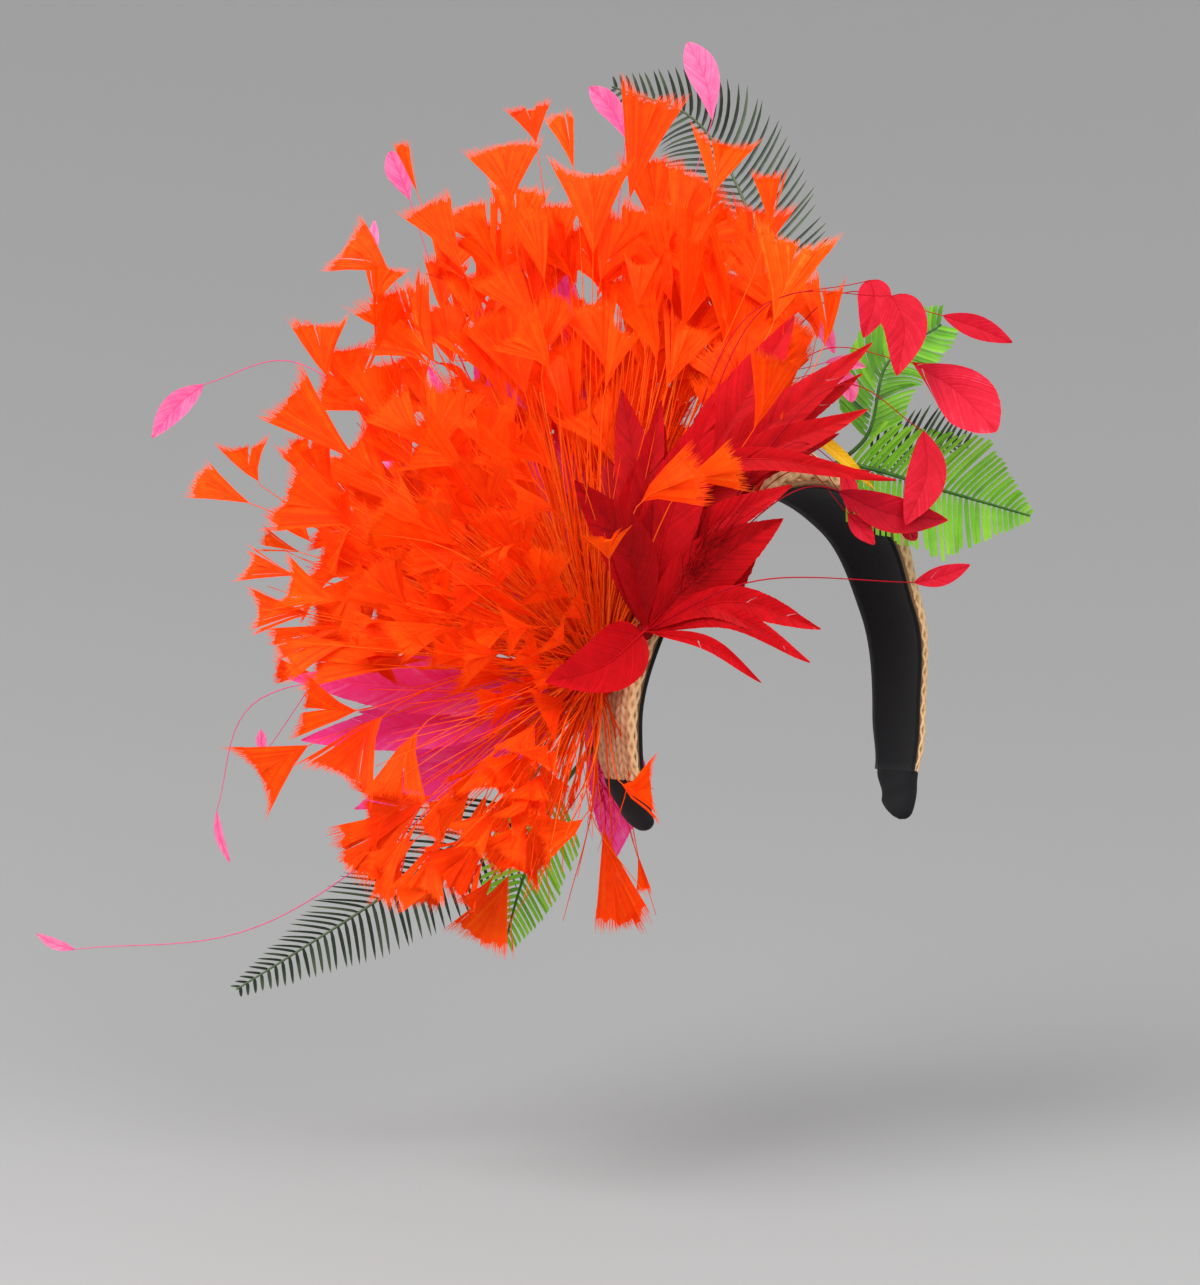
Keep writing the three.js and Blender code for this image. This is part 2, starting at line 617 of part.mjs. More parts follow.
function yellowBiot(grow) {
  const root = bandPoint(YELLOW_BIOT.deg, YELLOW_BIOT.across, LINING_WALL + STRAW_WALL + 3 * GAP);
  root.addScaledVector(bandNormal(YELLOW_BIOT.deg), ROOT_STANDOFF);
  return paddleFeather(root, YELLOW_BIOT, grow);
}

// Every piece in the order that it keeps its shape: a later one gives way to those before it.
const strawOff = LINING_WALL + GAP;
const sleeve = (hand) => (grow) =>
  bandWall(
    hand * (BAND_END_DEG + SLEEVE_START_DEG - grow), hand * (SLEEVE_END_DEG + grow),
    -SLEEVE_INSET - grow, SLEEVE_WALL + 2 * grow, grow, SLEEVE_STEPS,
  );
const PIECES = [
  {
    name: "straw_band",
    colour: "straw",
    make: (grow) =>
      bandWall(-BAND_END_DEG, BAND_END_DEG, strawOff - grow, STRAW_WALL + 2 * grow, grow, BAND_STEPS),
  },
  {
    name: "band_lining",
    colour: "black",
    make: (grow) =>
      bandWall(-BAND_END_DEG, BAND_END_DEG, -grow, LINING_WALL + 2 * grow, LINING_SHOWS + grow, BAND_STEPS),
    fits: true,
  },
  { name: "end_sleeve_left", colour: "black", make: sleeve(1), fits: true },
  { name: "end_sleeve_right", colour: "black", make: sleeve(-1), fits: true },
  {
    name: "red_plume",
    colour: "red",
    make: (grow) => plume(BINDINGS.red, RED_LEAVES, RED_PADDLES, grow),
  },
  {
    name: "pink_plume",
    colour: "pink",
    make: (grow) => plume(BINDINGS.pink, PINK_LEAVES, PINK_PADDLES, grow),
  },
  ...FRONDS.map((row) => ({ name: row.name, colour: row.colour, make: (grow) => frond(row, grow) })),
  { name: "yellow_biot", colour: "yellow", make: yellowBiot },
  { name: "orange_spray", colour: "orange", make: orangeSpray },
];

function meshOf(name, solid, colour) {
  const { vertProperties, triVerts } = solid.getMesh();
  const geometry = new THREE.BufferGeometry();
  geometry.setAttribute("position", new THREE.BufferAttribute(vertProperties, 3));
  geometry.setIndex(new THREE.BufferAttribute(triVerts, 1));
  geometry.computeVertexNormals();
  const material = new THREE.MeshStandardMaterial({ color: COLOURS[colour], roughness: 0.75, metalness: 0 });
  const mesh = new THREE.Mesh(geometry, material);
  mesh.name = name;
  return mesh;
}

const fascinator = new THREE.Group();
const cutters = [];
for (const { name, colour, make, fits } of PIECES) {
  let solid = make(0);
  if (!fits) {
    solid = cutters.reduce((left, cutter) => left.subtract(cutter), solid);
    solid = largestBody(solid);
  }
  cutters.push(make(GAP));
  fascinator.add(meshOf(name, solid, colour));
}

export default fascinator;
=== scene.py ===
import math

import bpy
import numpy as np
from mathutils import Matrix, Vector


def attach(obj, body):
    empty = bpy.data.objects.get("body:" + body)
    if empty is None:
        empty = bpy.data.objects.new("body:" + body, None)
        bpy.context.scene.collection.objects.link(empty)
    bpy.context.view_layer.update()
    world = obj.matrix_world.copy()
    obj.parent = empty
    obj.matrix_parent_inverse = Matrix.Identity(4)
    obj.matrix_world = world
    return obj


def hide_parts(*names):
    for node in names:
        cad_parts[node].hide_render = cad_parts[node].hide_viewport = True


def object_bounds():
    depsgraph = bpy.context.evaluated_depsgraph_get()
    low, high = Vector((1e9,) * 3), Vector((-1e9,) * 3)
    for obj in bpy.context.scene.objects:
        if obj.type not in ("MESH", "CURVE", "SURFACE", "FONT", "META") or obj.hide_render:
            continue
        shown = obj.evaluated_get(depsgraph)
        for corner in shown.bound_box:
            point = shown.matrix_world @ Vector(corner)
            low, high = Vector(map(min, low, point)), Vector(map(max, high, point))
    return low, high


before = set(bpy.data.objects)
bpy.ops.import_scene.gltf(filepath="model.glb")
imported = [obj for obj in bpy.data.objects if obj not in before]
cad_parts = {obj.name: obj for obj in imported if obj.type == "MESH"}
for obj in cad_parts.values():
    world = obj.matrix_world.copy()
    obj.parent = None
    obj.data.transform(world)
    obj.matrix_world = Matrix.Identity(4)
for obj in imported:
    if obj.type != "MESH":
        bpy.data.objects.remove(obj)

MM = 0.001
SEED = 11

cad_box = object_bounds()
chance = np.random.default_rng(SEED)

# Headband
ARCH_HALF_WIDTH = 75
ARCH_HEIGHT = 100
LINING_WALL = 1
STRAW_WALL = 3
SLEEVE_WALL = 6.2
SLEEVE_INSIDE = 0.8
SLEEVE_MARGIN = 0.7
LINING_SHOWS = 0.9
GAP = 0.4
BAND_CROWN = 4
CROWN_FADE = 1.4
BAND_END_DEG = 104
SLEEVE_START_DEG = 103
SLEEVE_END_DEG = 117
STRAW_OFF = LINING_WALL + GAP
WALL_STEPS = 90
WALL_COLUMNS = 13
CLOTH_SHADE = 0.5
SLEEVE_STEPS = 26
SLEEVE_SIDES = 40
# The shares of a sleeve's length that round off its end and its mouth, how square its section is, how deep
# its creases are, and what is left open where it closes
SLEEVE_CLOSING = 0.18
SLEEVE_OPENING = 0.05
SLEEVE_SQUARE = 0.7
SLEEVE_CREASE = 0.05
SLEEVE_SHUT = 0.0004
BAND_SECTIONS = [
    {"deg": 0, "width": 50, "middle": -5, "lift": 4},
    {"deg": 30, "width": 46, "middle": -8, "lift": 2},
    {"deg": 60, "width": 40, "middle": -15, "lift": 0},
    {"deg": 90, "width": 34, "middle": -22, "lift": 0},
    {"deg": 104, "width": 28, "middle": -20, "lift": 0},
    {"deg": 112, "width": 22, "middle": -15, "lift": 0},
    {"deg": 117, "width": 12, "middle": -11, "lift": 0},
]

# The side view that the feathers are set out in: right, up and near, from the origin
VIEW_AZIMUTH_DEG = 150
VIEW_DISTANCE = 1100
SIGHT_RIGHT = -85.5
SIGHT_UP = -64
FRAME_HEIGHT = 578
SENSOR = 36

# Straw braid
STITCH_PITCH = 4.2
STITCH_COLUMNS = 8
STITCH_LEAN_DEG = 36
STITCH_RISE = 1.3
STITCH_LENGTH = 0.98 * STITCH_PITCH
STITCH_MARGIN = 1.5
STITCH_SINK = 0.15
STITCH_SLOPE = 0.22
# Stitches are painted darker at their sides and lighter on their tops, by their rise: painted shade and
# painted highlight
STITCH_SHADE = 0.68
STITCH_PAINTED_SHADING = 0.8
# The share of its cell and of the pitch that half a stitch fills, and how far it turns with the lean
STITCH_FILL_ACROSS = 0.52
STITCH_FILL_ALONG = 0.44
STITCH_TURN = 0.8
BRAID_BED = 2.1
# The bed is painted dark brown, as painted shade in the gaps between stitches
BED_PAINTED_SHADE = 0.04
EDGE_ROLL = 2.3
END_TAPER_DEG = 6
END_TAPER = 0.55
ROLL_STEPS = 560
ROLL_SIDES = 18
ROLL_STRANDS = 4
ROLL_RELIEF = 0.45
ROLL_SHADE = 0.42
# The roll's shade follows its strands: painted shade in the grooves and a painted highlight on the strands
ROLL_PAINTED_SHADING = 0.3
# How much less than its bulk the roll's core is, and how far it lies in from the edge and into the bed
ROLL_LESS = 0.4
ROLL_INSET = 0.6
ROLL_SINK = 0.2
# Where each edge, -1 at the front and 1 at the rear, is rolled thicker: at what angle, by how much,
# and over what spread of angle
THICK_ROLLS = [
    {"edge": -1, "deg": 0, "rise": 2.0, "spread": 45},
    {"edge": 1, "deg": 0, "rise": 2.0, "spread": 45},
    {"edge": 1, "deg": 5, "rise": 4.4, "spread": 9},
    {"edge": 1, "deg": -40, "rise": 1.8, "spread": 20},
]

# Feather stock
GOLDEN = 0.6180339887
QUILL_RADIUS = 0.55
QUILL_TIP = 0.15
QUILL_BOW = 4
QUILL_BEND_SHARE = 0.55
QUILL_STRAY = 1.6
QUILL_PALER = (0.1, 0.34)
BARE_RADIUS = 0.45
BARE_TIP = 0.14
BARE_SHADE = (0.5, 0.85)
STEM_RADIUS = 0.45
STEM_TIP = 0.12
RIB_RADIUS = 1.2
RIB_TIP = 0.5
SHAFT_RADIUS = 0.6
SHAFT_TIP = 0.1
SHAFT_BARE = 0.04
PADDLE_BOW = 0.12
LOOSE_RADIUS = 0.3
LOOSE_TIP = 0.07
LOOSE_SHADE = 0.3
LEAFLET_CLOSING = 0.12
LEAFLET_SAG = 0.12
LEAFLET_FOLD = 0.3
ROOT_STANDOFF = 2

# Trimmed fans: the stations along a barb, how the whole fan is arched, bent and curled, and how its
# clumps are shifted, leaned and cut short
FAN_STATIONS = (0, 0.3, 0.65, 0.93)
FAN_ROOT = 0.6
FAN_ARC = (-0.16, 0.12)
FAN_BEND = (-0.25, 0.25)
FAN_CURL = (-0.12, 0.16)
FAN_MOST_CLUMPS = 5
CLUMP_SHIFT = 0.045
CLUMP_LEAN = 0.05
CLUMP_CUT = 0.045
BARBS_PER_MM = 0.5
BARB_UNEVEN = 0.03
# The fringe: how many hairs each barb ends in, and at each station how wide and how pale they are,
# the paling toward their ends being painted light through the thin hairs
HAIRS_PER_BARB = 4
HAIR_START = 0.82
HAIR_WIDTHS = (0.62, 0.42, 0.08)
HAIR_PALER = (0.024, 0.084, 0.12)

# Broad vanes: the stations along a barb, the space between barbs, their sweep, how often the vane splits,
# its least half-width, its cup and its ripple
LEAF_STATIONS = (0, 0.25, 0.5, 0.75, 1.0)
BARB_SPACING = (0.45, 1.0)
BARBS_IN_A_BLADE = 130
BARB_SWEEP_DEG = 40
BARB_CLOSING_DEG = 14
SPLIT_EVERY = 40
LEAST_HALF_WIDTH = 0.25
VANE_CUP = 0.16
RIPPLE = 0.05
RIPPLE_RATE = 0.11
# Feathers behind a broad one: their share of its reach, their scatter, how far behind they lie,
# and how their width, bow, tone and roll differ from its own, the lower tone being painted shade behind it
BEHIND_REACH = (0.74, 0.94)
BEHIND_SCATTER = 5
BEHIND_DEPTH = (6, 16)
BEHIND_WIDTH = 0.9
BEHIND_BOW = 4
BEHIND_PAINTED_SHADE = (0, 0.16)
BEHIND_ROLL_DEG = 18
BEHIND_RAGGED = 1.2

# Bindings: the dome's rings and sides and its gap at the poles, the thread's turns, ridge and shade, and
# each one's place on the band with the dome's radius and height
BINDING_CLEARANCE = 0.3
BINDING_RINGS = 60
BINDING_SIDES = 28
BINDING_POLE = 0.02
BINDING_TURNS = 34
BINDING_RIDGE = 0.035
BINDING_SHADE = 0.3
BINDINGS = {
    "orange": {"deg": 78, "across": 0.05, "radius": 13, "height": 8},
    "red": {"deg": 68, "across": 0.98, "radius": 4, "height": 4},
    "pink": {"deg": 80, "across": -1.1, "radius": 4, "height": 4},
}

# Orange quills of the outline: right, up and near of the fan's end, its length and width,
# its turn from the quill's line and its roll away from the viewer
ORANGE_FANS = [
    (-201, 116, 10, 26, 30, 25, 15),
    (-182, 106, 25, 19, 20, -40, 10),
    (-212, 81, 30, 26, 25, -30, 0),
    (-176, 160, 5, 24, 8, 0, 30),
    (-164, 133, 20, 30, 26, 10, 25),
    (-118, 178, 0, 18, 19, 5, 0),
    (-130, 161, 25, 27, 34, 0, 0),
    (-104, 176, 30, 27, 12, 10, 20),
    (-89, 157, 45, 44, 36, 0, 0),
    (-61, 184, 15, 50, 30, -8, 10),
    (-29, 164, 5, 28, 30, 0, 0),
    (-10, 147, 30, 24, 16, 20, 20),
    (4, 122, 35, 42, 38, 10, 5),
    (16, 98, 50, 28, 18, 30, 30),
    (-4, 68, 78, 36, 26, 12, 20),
    (-230, 46, 55, 42, 30, 0, 20),
    (-246, 27, 15, 20, 22, -35, 0),
    (-268, 10, 25, 27, 18, 0, 20),
    (-230, 4, 60, 40, 38, 10, 10),
    (-246, -27, 20, 24, 18, 0, 30),
    (-243, -50, 50, 26, 20, 10, 10),
    (-233, -66, 10, 36, 15, 20, 10),
    (-218, -72, 50, 40, 24, 0, 15),
    (-222, -92, 60, 26, 26, -15, 0),
    (-246, -127, 15, 34, 34, 10, 0),
    (-178, -133, 80, 32, 26, 40, 0),
    (-204, -128, 45, 36, 36, 30, 10),
    (-202, -164, 20, 46, 36, 0, 10),
    (-184, -182, 35, 40, 12, 20, 10),
    (-160, -171, 50, 33, 27, -10, 0),
    (-140, -200, 30, 33, 30, 0, 0),
    (-124, -173, 60, 26, 22, 0, 0),
    (-74, -194, 40, 46, 26, 5, 10),
    (-65, -177, 20, 18, 7, 0, 20),
    (-58, -130, 72, 22, 26, 55, 0),
    (-42, 11, 104, 33, 26, -40, 0),
    (-23, 14, 90, 26, 24, -42, 20),
    (-84, -12, 118, 22, 21, 10, 0),
    (-146, 134, 0, 30, 30, 12, 15),
    (-122, 141, -10, 32, 28, -10, 20),
    (-62, 154, -10, 38, 32, 8, 10),
    (-40, 147, 10, 36, 30, -10, 15),
    (-14, 132, -10, 32, 28, 10, 10),
    (-214, -24, 30, 32, 26, 5, 10),
    (-196, -142, 20, 36, 34, -15, 10),
]
# How far the body of the spray reaches from its binding, by its direction in the side view
SPRAY_REACH = [
    (56, 184), (73, 214), (100, 222), (125, 194), (146, 172), (160, 170),
    (182, 156), (200, 142), (223, 152), (246, 144), (262, 130),
]
# The body's quills by zone: their direction, their share of that reach, how near they come, how many
# there are, and the length of their fans, each as a first and a last value
SPRAY_ZONES = [
    ((58, 86), (0.70, 0.96), (-20, 34), 38, (28, 44)),
    ((84, 146), (0.76, 0.98), (-8, 46), 44, (20, 38)),
    ((146, 181), (0.60, 0.96), (-10, 60), 28, (16, 32)),
    ((74, 150), (0.52, 0.90), (-38, -4), 64, (20, 38)),
    ((150, 178), (0.45, 0.80), (-38, 0), 26, (18, 32)),
    ((84, 126), (0.50, 0.78), (26, 74), 18, (22, 38)),
    ((114, 180), (0.36, 0.72), (44, 112), 44, (18, 34)),
    ((112, 188), (0.16, 0.34), (72, 112), 7, (18, 28)),
    ((188, 222), (0.20, 0.40), (50, 100), 8, (18, 26)),
    ((222, 258), (0.34, 0.70), (40, 98), 26, (14, 26)),
    ((222, 242), (0.66, 0.94), (0, 54), 14, (18, 30)),
    ((94, 114), (0.84, 0.97), (-30, 24), 13, (24, 38)),
    ((61, 86), (0.87, 1.0), (-30, 24), 20, (28, 42)),
    ((60, 102), (0.52, 0.74), (-40, 0), 22, (30, 42)),
    ((74, 178), (0.38, 0.62), (-36, 0), 34, (32, 46)),
]
# How far quills are scattered along and across the binding, and how the body's fans differ in width, turn,
# roll and shade, the shade lower nearer the binding as painted shade in the spray's dense middle
ROOT_SCATTER = (5, 3)
OUTER_SHADE = 0.5
BODY_WIDTH = (0.55, 1.15)
BODY_TURN_DEG = 24
BODY_ROLL_DEG = 36
BODY_SHADE = 0.38
BODY_PALER = 0.16

# Broad feathers: right, up and near of the tip, the greatest width, the bow, how many lie behind,
# and the shape
RED_LEAVES = [
    (2, 83, 38, 32, 6, 3, "leaf"),
    (37, 71, 46, 20, 15, 2, "leaf"),
    (35, 41, 60, 20, 23, 0, "leaf"),
    (22, 30, 48, 18, 22, 0, "leaf"),
    (1, 7, 62, 17, 12, 0, "leaf"),
    (48, 9, 76, 11, 44, 0, "leaf"),
    (36, 13, 72, 10, 42, 0, "leaf"),
    (-3, -8, 92, 26, 4, 1, "leaf"),
    (14, -58, 110, 14, 12, 1, "leaf"),
    (9, -73, 112, 9, 12, 0, "leaf"),
    (-13, -82, 110, 6, 6, 0, "leaf"),
    (-58, 45, 60, 15, 4, 2, "leaf"),
    (-97, 9, 90, 22, -8, 1, "leaf"),
    (-110, -82, 92, 27, 5, 0, "drop"),
    (-34, 44, 70, 26, 4, 3, "leaf"),
    (-76, 50, 40, 22, -4, 2, "leaf"),
]
PINK_LEAVES = [
    (-226, -80, 20, 26, 4, 2, "leaf"),
    (-220, -108, 10, 24, 4, 2, "leaf"),
    (-196, -139, -10, 24, 6, 2, "leaf"),
    (-142, 94, -55, 24, 6, 2, "leaf"),
    (-163, 61, -50, 18, 4, 2, "leaf"),
    (-106, 128, -50, 22, -4, 2, "leaf"),
    (-204, -4, -55, 22, 4, 2, "leaf"),
    (-81, -163, -20, 22, 8, 2, "leaf"),
    (-188, 30, -60, 20, 5, 2, "leaf"),
]
# Loose barbs: right, up and near of their spot, how far they spread, and how many there are
LOOSE_BARBS = {
    "red": [(-22, -6, 86, 6, 50)],
    "pink": [(-200, -90, -30, 8, 40), (-80, -160, 0, 6, 40)],
}
# Stripped stems: the stem's middle, the paddle's two ends, its width and its shape
RED_PADDLES = [
    ((-20, 82, 30), (36, 99, 24), (33, 73, 28), 15, "drop"),
    ((-10, 88, 34), (46, 92, 36), (48, 56, 44), 20, "drop"),
    ((20, 92, 10), (69, 83, 10), (100, 71, 14), 10, "leaf"),
    ((10, 66, 42), (55, 62, 28), (93, 31, 36), 25, "paddle"),
    ((22, 52, 60), (60, 31, 52), (52, -11, 62), 17, "leaf"),
    ((6, 22, 66), (22, 4, 62), (71, -9, 52), 16, "leaf"),
    ((-14, -36, 112), (56, -37, 84), (81, -29, 80), 8, "leaf"),
    ((2, 26, 60), (23, 15, 50), (27, -6, 54), 7, "leaf"),
    ((4, 14, 60), (26, -6, 56), (38, -20, 58), 8, "leaf"),
    ((8, 6, 60), (48, -10, 50), (57, -18, 50), 6, "paddle"),
]
PINK_PADDLES = [
    ((-222, 62, -60), (-264, 52, -58), (-287, 28, -56), 12, "leaf"),
    ((-242, -92, -70), (-258, -140, -66), (-252, -163, -64), 4, "leaf"),
    ((-240, -192, -75), (-322, -202, -80), (-339, -195, -80), 5, "leaf"),
    ((-150, 70, -62), (-171, 135, -58), (-180, 157, -55), 12, "paddle"),
    ((-160, 60, -66), (-186, 113, -70), (-187, 126, -72), 4, "leaf"),
    ((-82, 80, -60), (-74, 163, -62), (-90, 186, -62), 11, "paddle"),
    ((-60, 90, -62), (-35, 171, -66), (-46, 206, -68), 15, "paddle"),
    ((-200, -70, -78), (-236, -113, -84), (-238, -103, -86), 5, "leaf"),
    ((-40, 50, -20), (8, 82, 0), (20, 66, 4), 7, "leaf"),
    ((-30, 46, -20), (16, 62, 2), (34, 60, 4), 6, "leaf"),
    ((-30, 40, -20), (20, 60, 0), (28, 44, 4), 8, "paddle"),
]
YELLOW_BIOT = {"deg": 4, "across": 0.45, "stem": ((2, 36, 26), (10, 31, 28), (38, 5, 32), 6, "drop")}
# Where each shape of vane is widest, and how round its ends are
OUTLINES = {
    "leaf": {"widest": 0.95, "round": 0.88},
    "paddle": {"widest": 1.5, "round": 0.72},
    "drop": {"widest": 0.62, "round": 0.8},
}
# Bare quills under the spray and among its fans: how many, their direction, their reach from the binding,
# how near they come, and how far they sway
BARE_QUILLS = [
    {"count": 16, "heading": (228, 284), "reach": (70, 130), "near": (10, 70), "sway": 9},
    {"count": 130, "heading": (84, 262), "reach": (50, 112), "near": (56, 112), "sway": 4},
    {"count": 150, "heading": (64, 176), "reach": (90, 160), "near": (-10, 64), "sway": 4},
]

# Fronds: the place on the band, the rib's spots, the leaflets' length at the foot, middle and tip,
# how many pairs, their width, their sweep from the rib on each side and the face's turn, with a lower
# tone as painted shade where they have one, and a trim on each side where they have them
PALMS = {
    "palm_right": {
        "deg": -8, "across": 0.1, "rib": [(26, 16, 5), (70, 4, 1), (108, -7, 0)],
        "lengths": (25, 31, 2), "pairs": 33, "width": 2.1, "sweeps": (66, 76), "face": 10,
    },
    "palm_up": {
        "deg": -14, "across": -0.7, "rib": [(34, 28, -36), (44, 62, -40), (68, 79, -42)],
        # palm_up's tone is lowered as painted shade
        "lengths": (18, 24, 9), "pairs": 24, "width": 2.9, "sweeps": (58, 54), "face": 0, "tone": 0.36,
    },
    "palm_low": {
        "deg": 96, "across": -0.95, "rib": [(-104, -132, -26), (-120, -170, -34), (-128, -198, -38)],
        "lengths": (26, 24, 6), "pairs": 22, "width": 2.4, "sweeps": (56, 56), "face": 20,
    },
}
FERNS = {
    "fern_top": {
        "deg": 10, "across": -1,
        "rib": [(-10, 92, -70), (-24, 142, -78), (-44, 172, -82), (-80, 186, -84)],
        "lengths": (40, 34, 5), "pairs": 36, "width": 1.9, "sweeps": (62, 62), "face": 0,
    },
    "fern_low": {
        "deg": 88, "across": -1.05,
        "rib": [(-128, -136, -72), (-180, -176, -84), (-220, -202, -88), (-249, -220, -90)],
        "lengths": (40, 27, 4), "pairs": 40, "width": 1.9, "sweeps": (74, 44), "face": 0,
    },
    "fern_right": {
        "deg": -30, "across": -0.6, "rib": [(36, 14, -46), (54, 22, -52), (80, 25, -54)],
        "lengths": (20, 23, 6), "pairs": 17, "width": 1.8, "sweeps": (62, 62), "face": 0,
        "trims": (1, 0.3),
    },
}

# Floor and light
FLOOR_DROP = 80
FLOOR_FLAT = 500
FLOOR_CURVE = 2600
FLOOR_SWEEP_DEG = 65
FLOOR_STEPS = 24
FLOOR_SIDES = 96
FLOOR_ALBEDO = 0.3
FLOOR_ROUGHNESS = 0.9
LAMPS = [
    {"name": "key", "right": -900, "up": 1300, "near": 1300, "side": 1100, "watts": 50},
    {"name": "fill", "right": 600, "up": 900, "near": 1300, "side": 800, "watts": 15},
]

# Surfaces: the colour by shade, the roughness, the grain of the mottling and the gloss, with the share of
# light that comes through, the sheen and the relief where they have any
SURFACES = {
    "orange_feather": {
        "stops": [
            (0.0, (0.62, 0.012, 0.0)), (0.4, (0.96, 0.047, 0.0)), (0.7, (1.0, 0.1, 0.001)),
            (1.0, (1.0, 0.27, 0.03)),
        ],
        "rough": 0.7, "grain": 260, "through": 0.36, "gloss": 0.1,
    },
    "red_feather": {
        "stops": [
            (0.0, (0.11, 0.0, 0.001)), (0.45, (0.46, 0.001, 0.004)), (0.75, (0.66, 0.002, 0.008)),
            (1.0, (0.8, 0.03, 0.04)),
        ],
        "rough": 0.6, "grain": 240, "through": 0.3, "gloss": 0.14,
    },
    "pink_feather": {
        "stops": [
            (0.0, (0.85, 0.003, 0.07)), (0.45, (1.0, 0.022, 0.2)), (0.75, (1.0, 0.07, 0.36)),
            (1.0, (1.0, 0.26, 0.56)),
        ],
        "rough": 0.6, "grain": 240, "through": 0.48, "gloss": 0.14,
    },
    "pale_pink_feather": {
        "stops": [
            (0.0, (0.62, 0.02, 0.14)), (0.45, (0.84, 0.09, 0.28)), (0.75, (0.9, 0.24, 0.44)),
            (1.0, (0.92, 0.44, 0.6)),
        ],
        "rough": 0.6, "grain": 240, "through": 0.34, "gloss": 0.14,
    },
    "rose_feather": {
        "stops": [
            (0.0, (0.26, 0.0, 0.006)), (0.45, (0.52, 0.002, 0.016)), (0.75, (0.7, 0.014, 0.042)),
            (1.0, (0.88, 0.14, 0.19)),
        ],
        "rough": 0.6, "grain": 240, "through": 0.3, "gloss": 0.14,
    },
    "green_palm": {
        "stops": [
            (0.0, (0.008, 0.05, 0.014)), (0.45, (0.14, 0.42, 0.016)), (0.75, (0.26, 0.58, 0.035)),
            (1.0, (0.42, 0.72, 0.1)),
        ],
        "rough": 0.5, "grain": 160, "through": 0.28, "gloss": 0.3,
    },
    "dark_fern": {
        "stops": [(0.0, (0.004, 0.008, 0.005)), (0.5, (0.012, 0.024, 0.012)), (1.0, (0.12, 0.17, 0.08))],
        "rough": 0.42, "grain": 160, "through": 0.08, "gloss": 0.3,
    },
    "yellow_biot": {
        "stops": [(0.0, (0.45, 0.22, 0.002)), (0.5, (0.82, 0.46, 0.006)), (1.0, (0.95, 0.72, 0.08))],
        "rough": 0.4, "grain": 200, "through": 0.2, "gloss": 0.3,
    },
    "straw_braid": {
        "stops": [
            (0.0, (0.2, 0.09, 0.03)), (0.4, (0.6, 0.34, 0.15)), (0.7, (0.8, 0.52, 0.27)),
            (1.0, (0.92, 0.7, 0.44)),
        ],
        "rough": 0.55, "grain": 900, "gloss": 0.4, "sheen": 0.1, "relief": 0.5,
    },
    "black_velvet": {
        "stops": [(0.0, (0.003, 0.003, 0.004)), (0.6, (0.01, 0.01, 0.012)), (1.0, (0.03, 0.03, 0.034))],
        "rough": 0.9, "grain": 1500, "gloss": 0.2, "sheen": 0.12, "relief": 0.6,
    },
}
MOTTLE = 0.3
RELIEF_DEPTH = 0.4 * MM
SHEEN_ROUGHNESS = 0.4


# Directions and places

def unit(vectors):
    vectors = np.asarray(vectors, float)
    return vectors / np.maximum(np.linalg.norm(vectors, axis=-1, keepdims=True), 1e-9)


azimuth = math.radians(VIEW_AZIMUTH_DEG)
VIEW_RIGHT = np.array([math.cos(azimuth), math.sin(azimuth), 0])
VIEW_UP = np.array([0, 0, 1.0])
VIEW_NEAR = np.array([math.sin(azimuth), -math.cos(azimuth), 0])


def view_vector(right, up, near):
    return right * VIEW_RIGHT + up * VIEW_UP + near * VIEW_NEAR


def spot(right, up, near):
    """A spot of the side view: its place as seen at the origin's distance, moved along the sight line."""
    share = (VIEW_DISTANCE - near) / VIEW_DISTANCE
    return view_vector(
        SIGHT_RIGHT + (right - SIGHT_RIGHT) * share, SIGHT_UP + (up - SIGHT_UP) * share, near
    )


def turned(vector, axis, degrees):
    """A vector turned about a unit axis."""
    angle = math.radians(degrees)
    across = np.cross(axis, vector)
    along = axis * np.dot(axis, vector) * (1 - math.cos(angle))
    return vector * math.cos(angle) + across * math.sin(angle) + along


def band_column(column, deg):
    """A column of the band's table at some angles, smooth between rows."""
    rows = np.array([row["deg"] for row in BAND_SECTIONS], float)
    values = np.array([row[column] for row in BAND_SECTIONS], float)
    at = np.minimum(np.abs(deg), rows[-1])
    after = np.clip(np.searchsorted(rows, at), 1, len(rows) - 1)
    share = (at - rows[after - 1]) / (rows[after] - rows[after - 1])
    share = share * share * (3 - 2 * share)
    return values[after - 1] + (values[after] - values[after - 1]) * share


def band_point(deg, across, off, margin=0):
    """Points of the band: across is -1 at the front edge and 1 at the rear edge, off is outwards."""
    deg, across, off = np.broadcast_arrays(np.asarray(deg, float), across, off)
    turn = np.radians(deg)
    crown = BAND_CROWN * (1 - np.minimum(1, across * across)) * np.cos(turn / CROWN_FADE)
    out = off + crown + band_column("lift", deg)
    return np.stack([
        (ARCH_HALF_WIDTH + out) * np.sin(turn),
        band_column("middle", deg) + across * (band_column("width", deg) / 2 + margin),
        (ARCH_HEIGHT + out) * np.cos(turn) - ARCH_HEIGHT,
    ], axis=-1)


def band_normal(deg):
    turn = math.radians(deg)
    return np.array([math.sin(turn), 0, math.cos(turn)])


def binding_centre(bound):
    off = LINING_WALL + 2 * GAP + STRAW_WALL + bound["height"] + BINDING_CLEARANCE
    return band_point(bound["deg"], bound["across"], off)


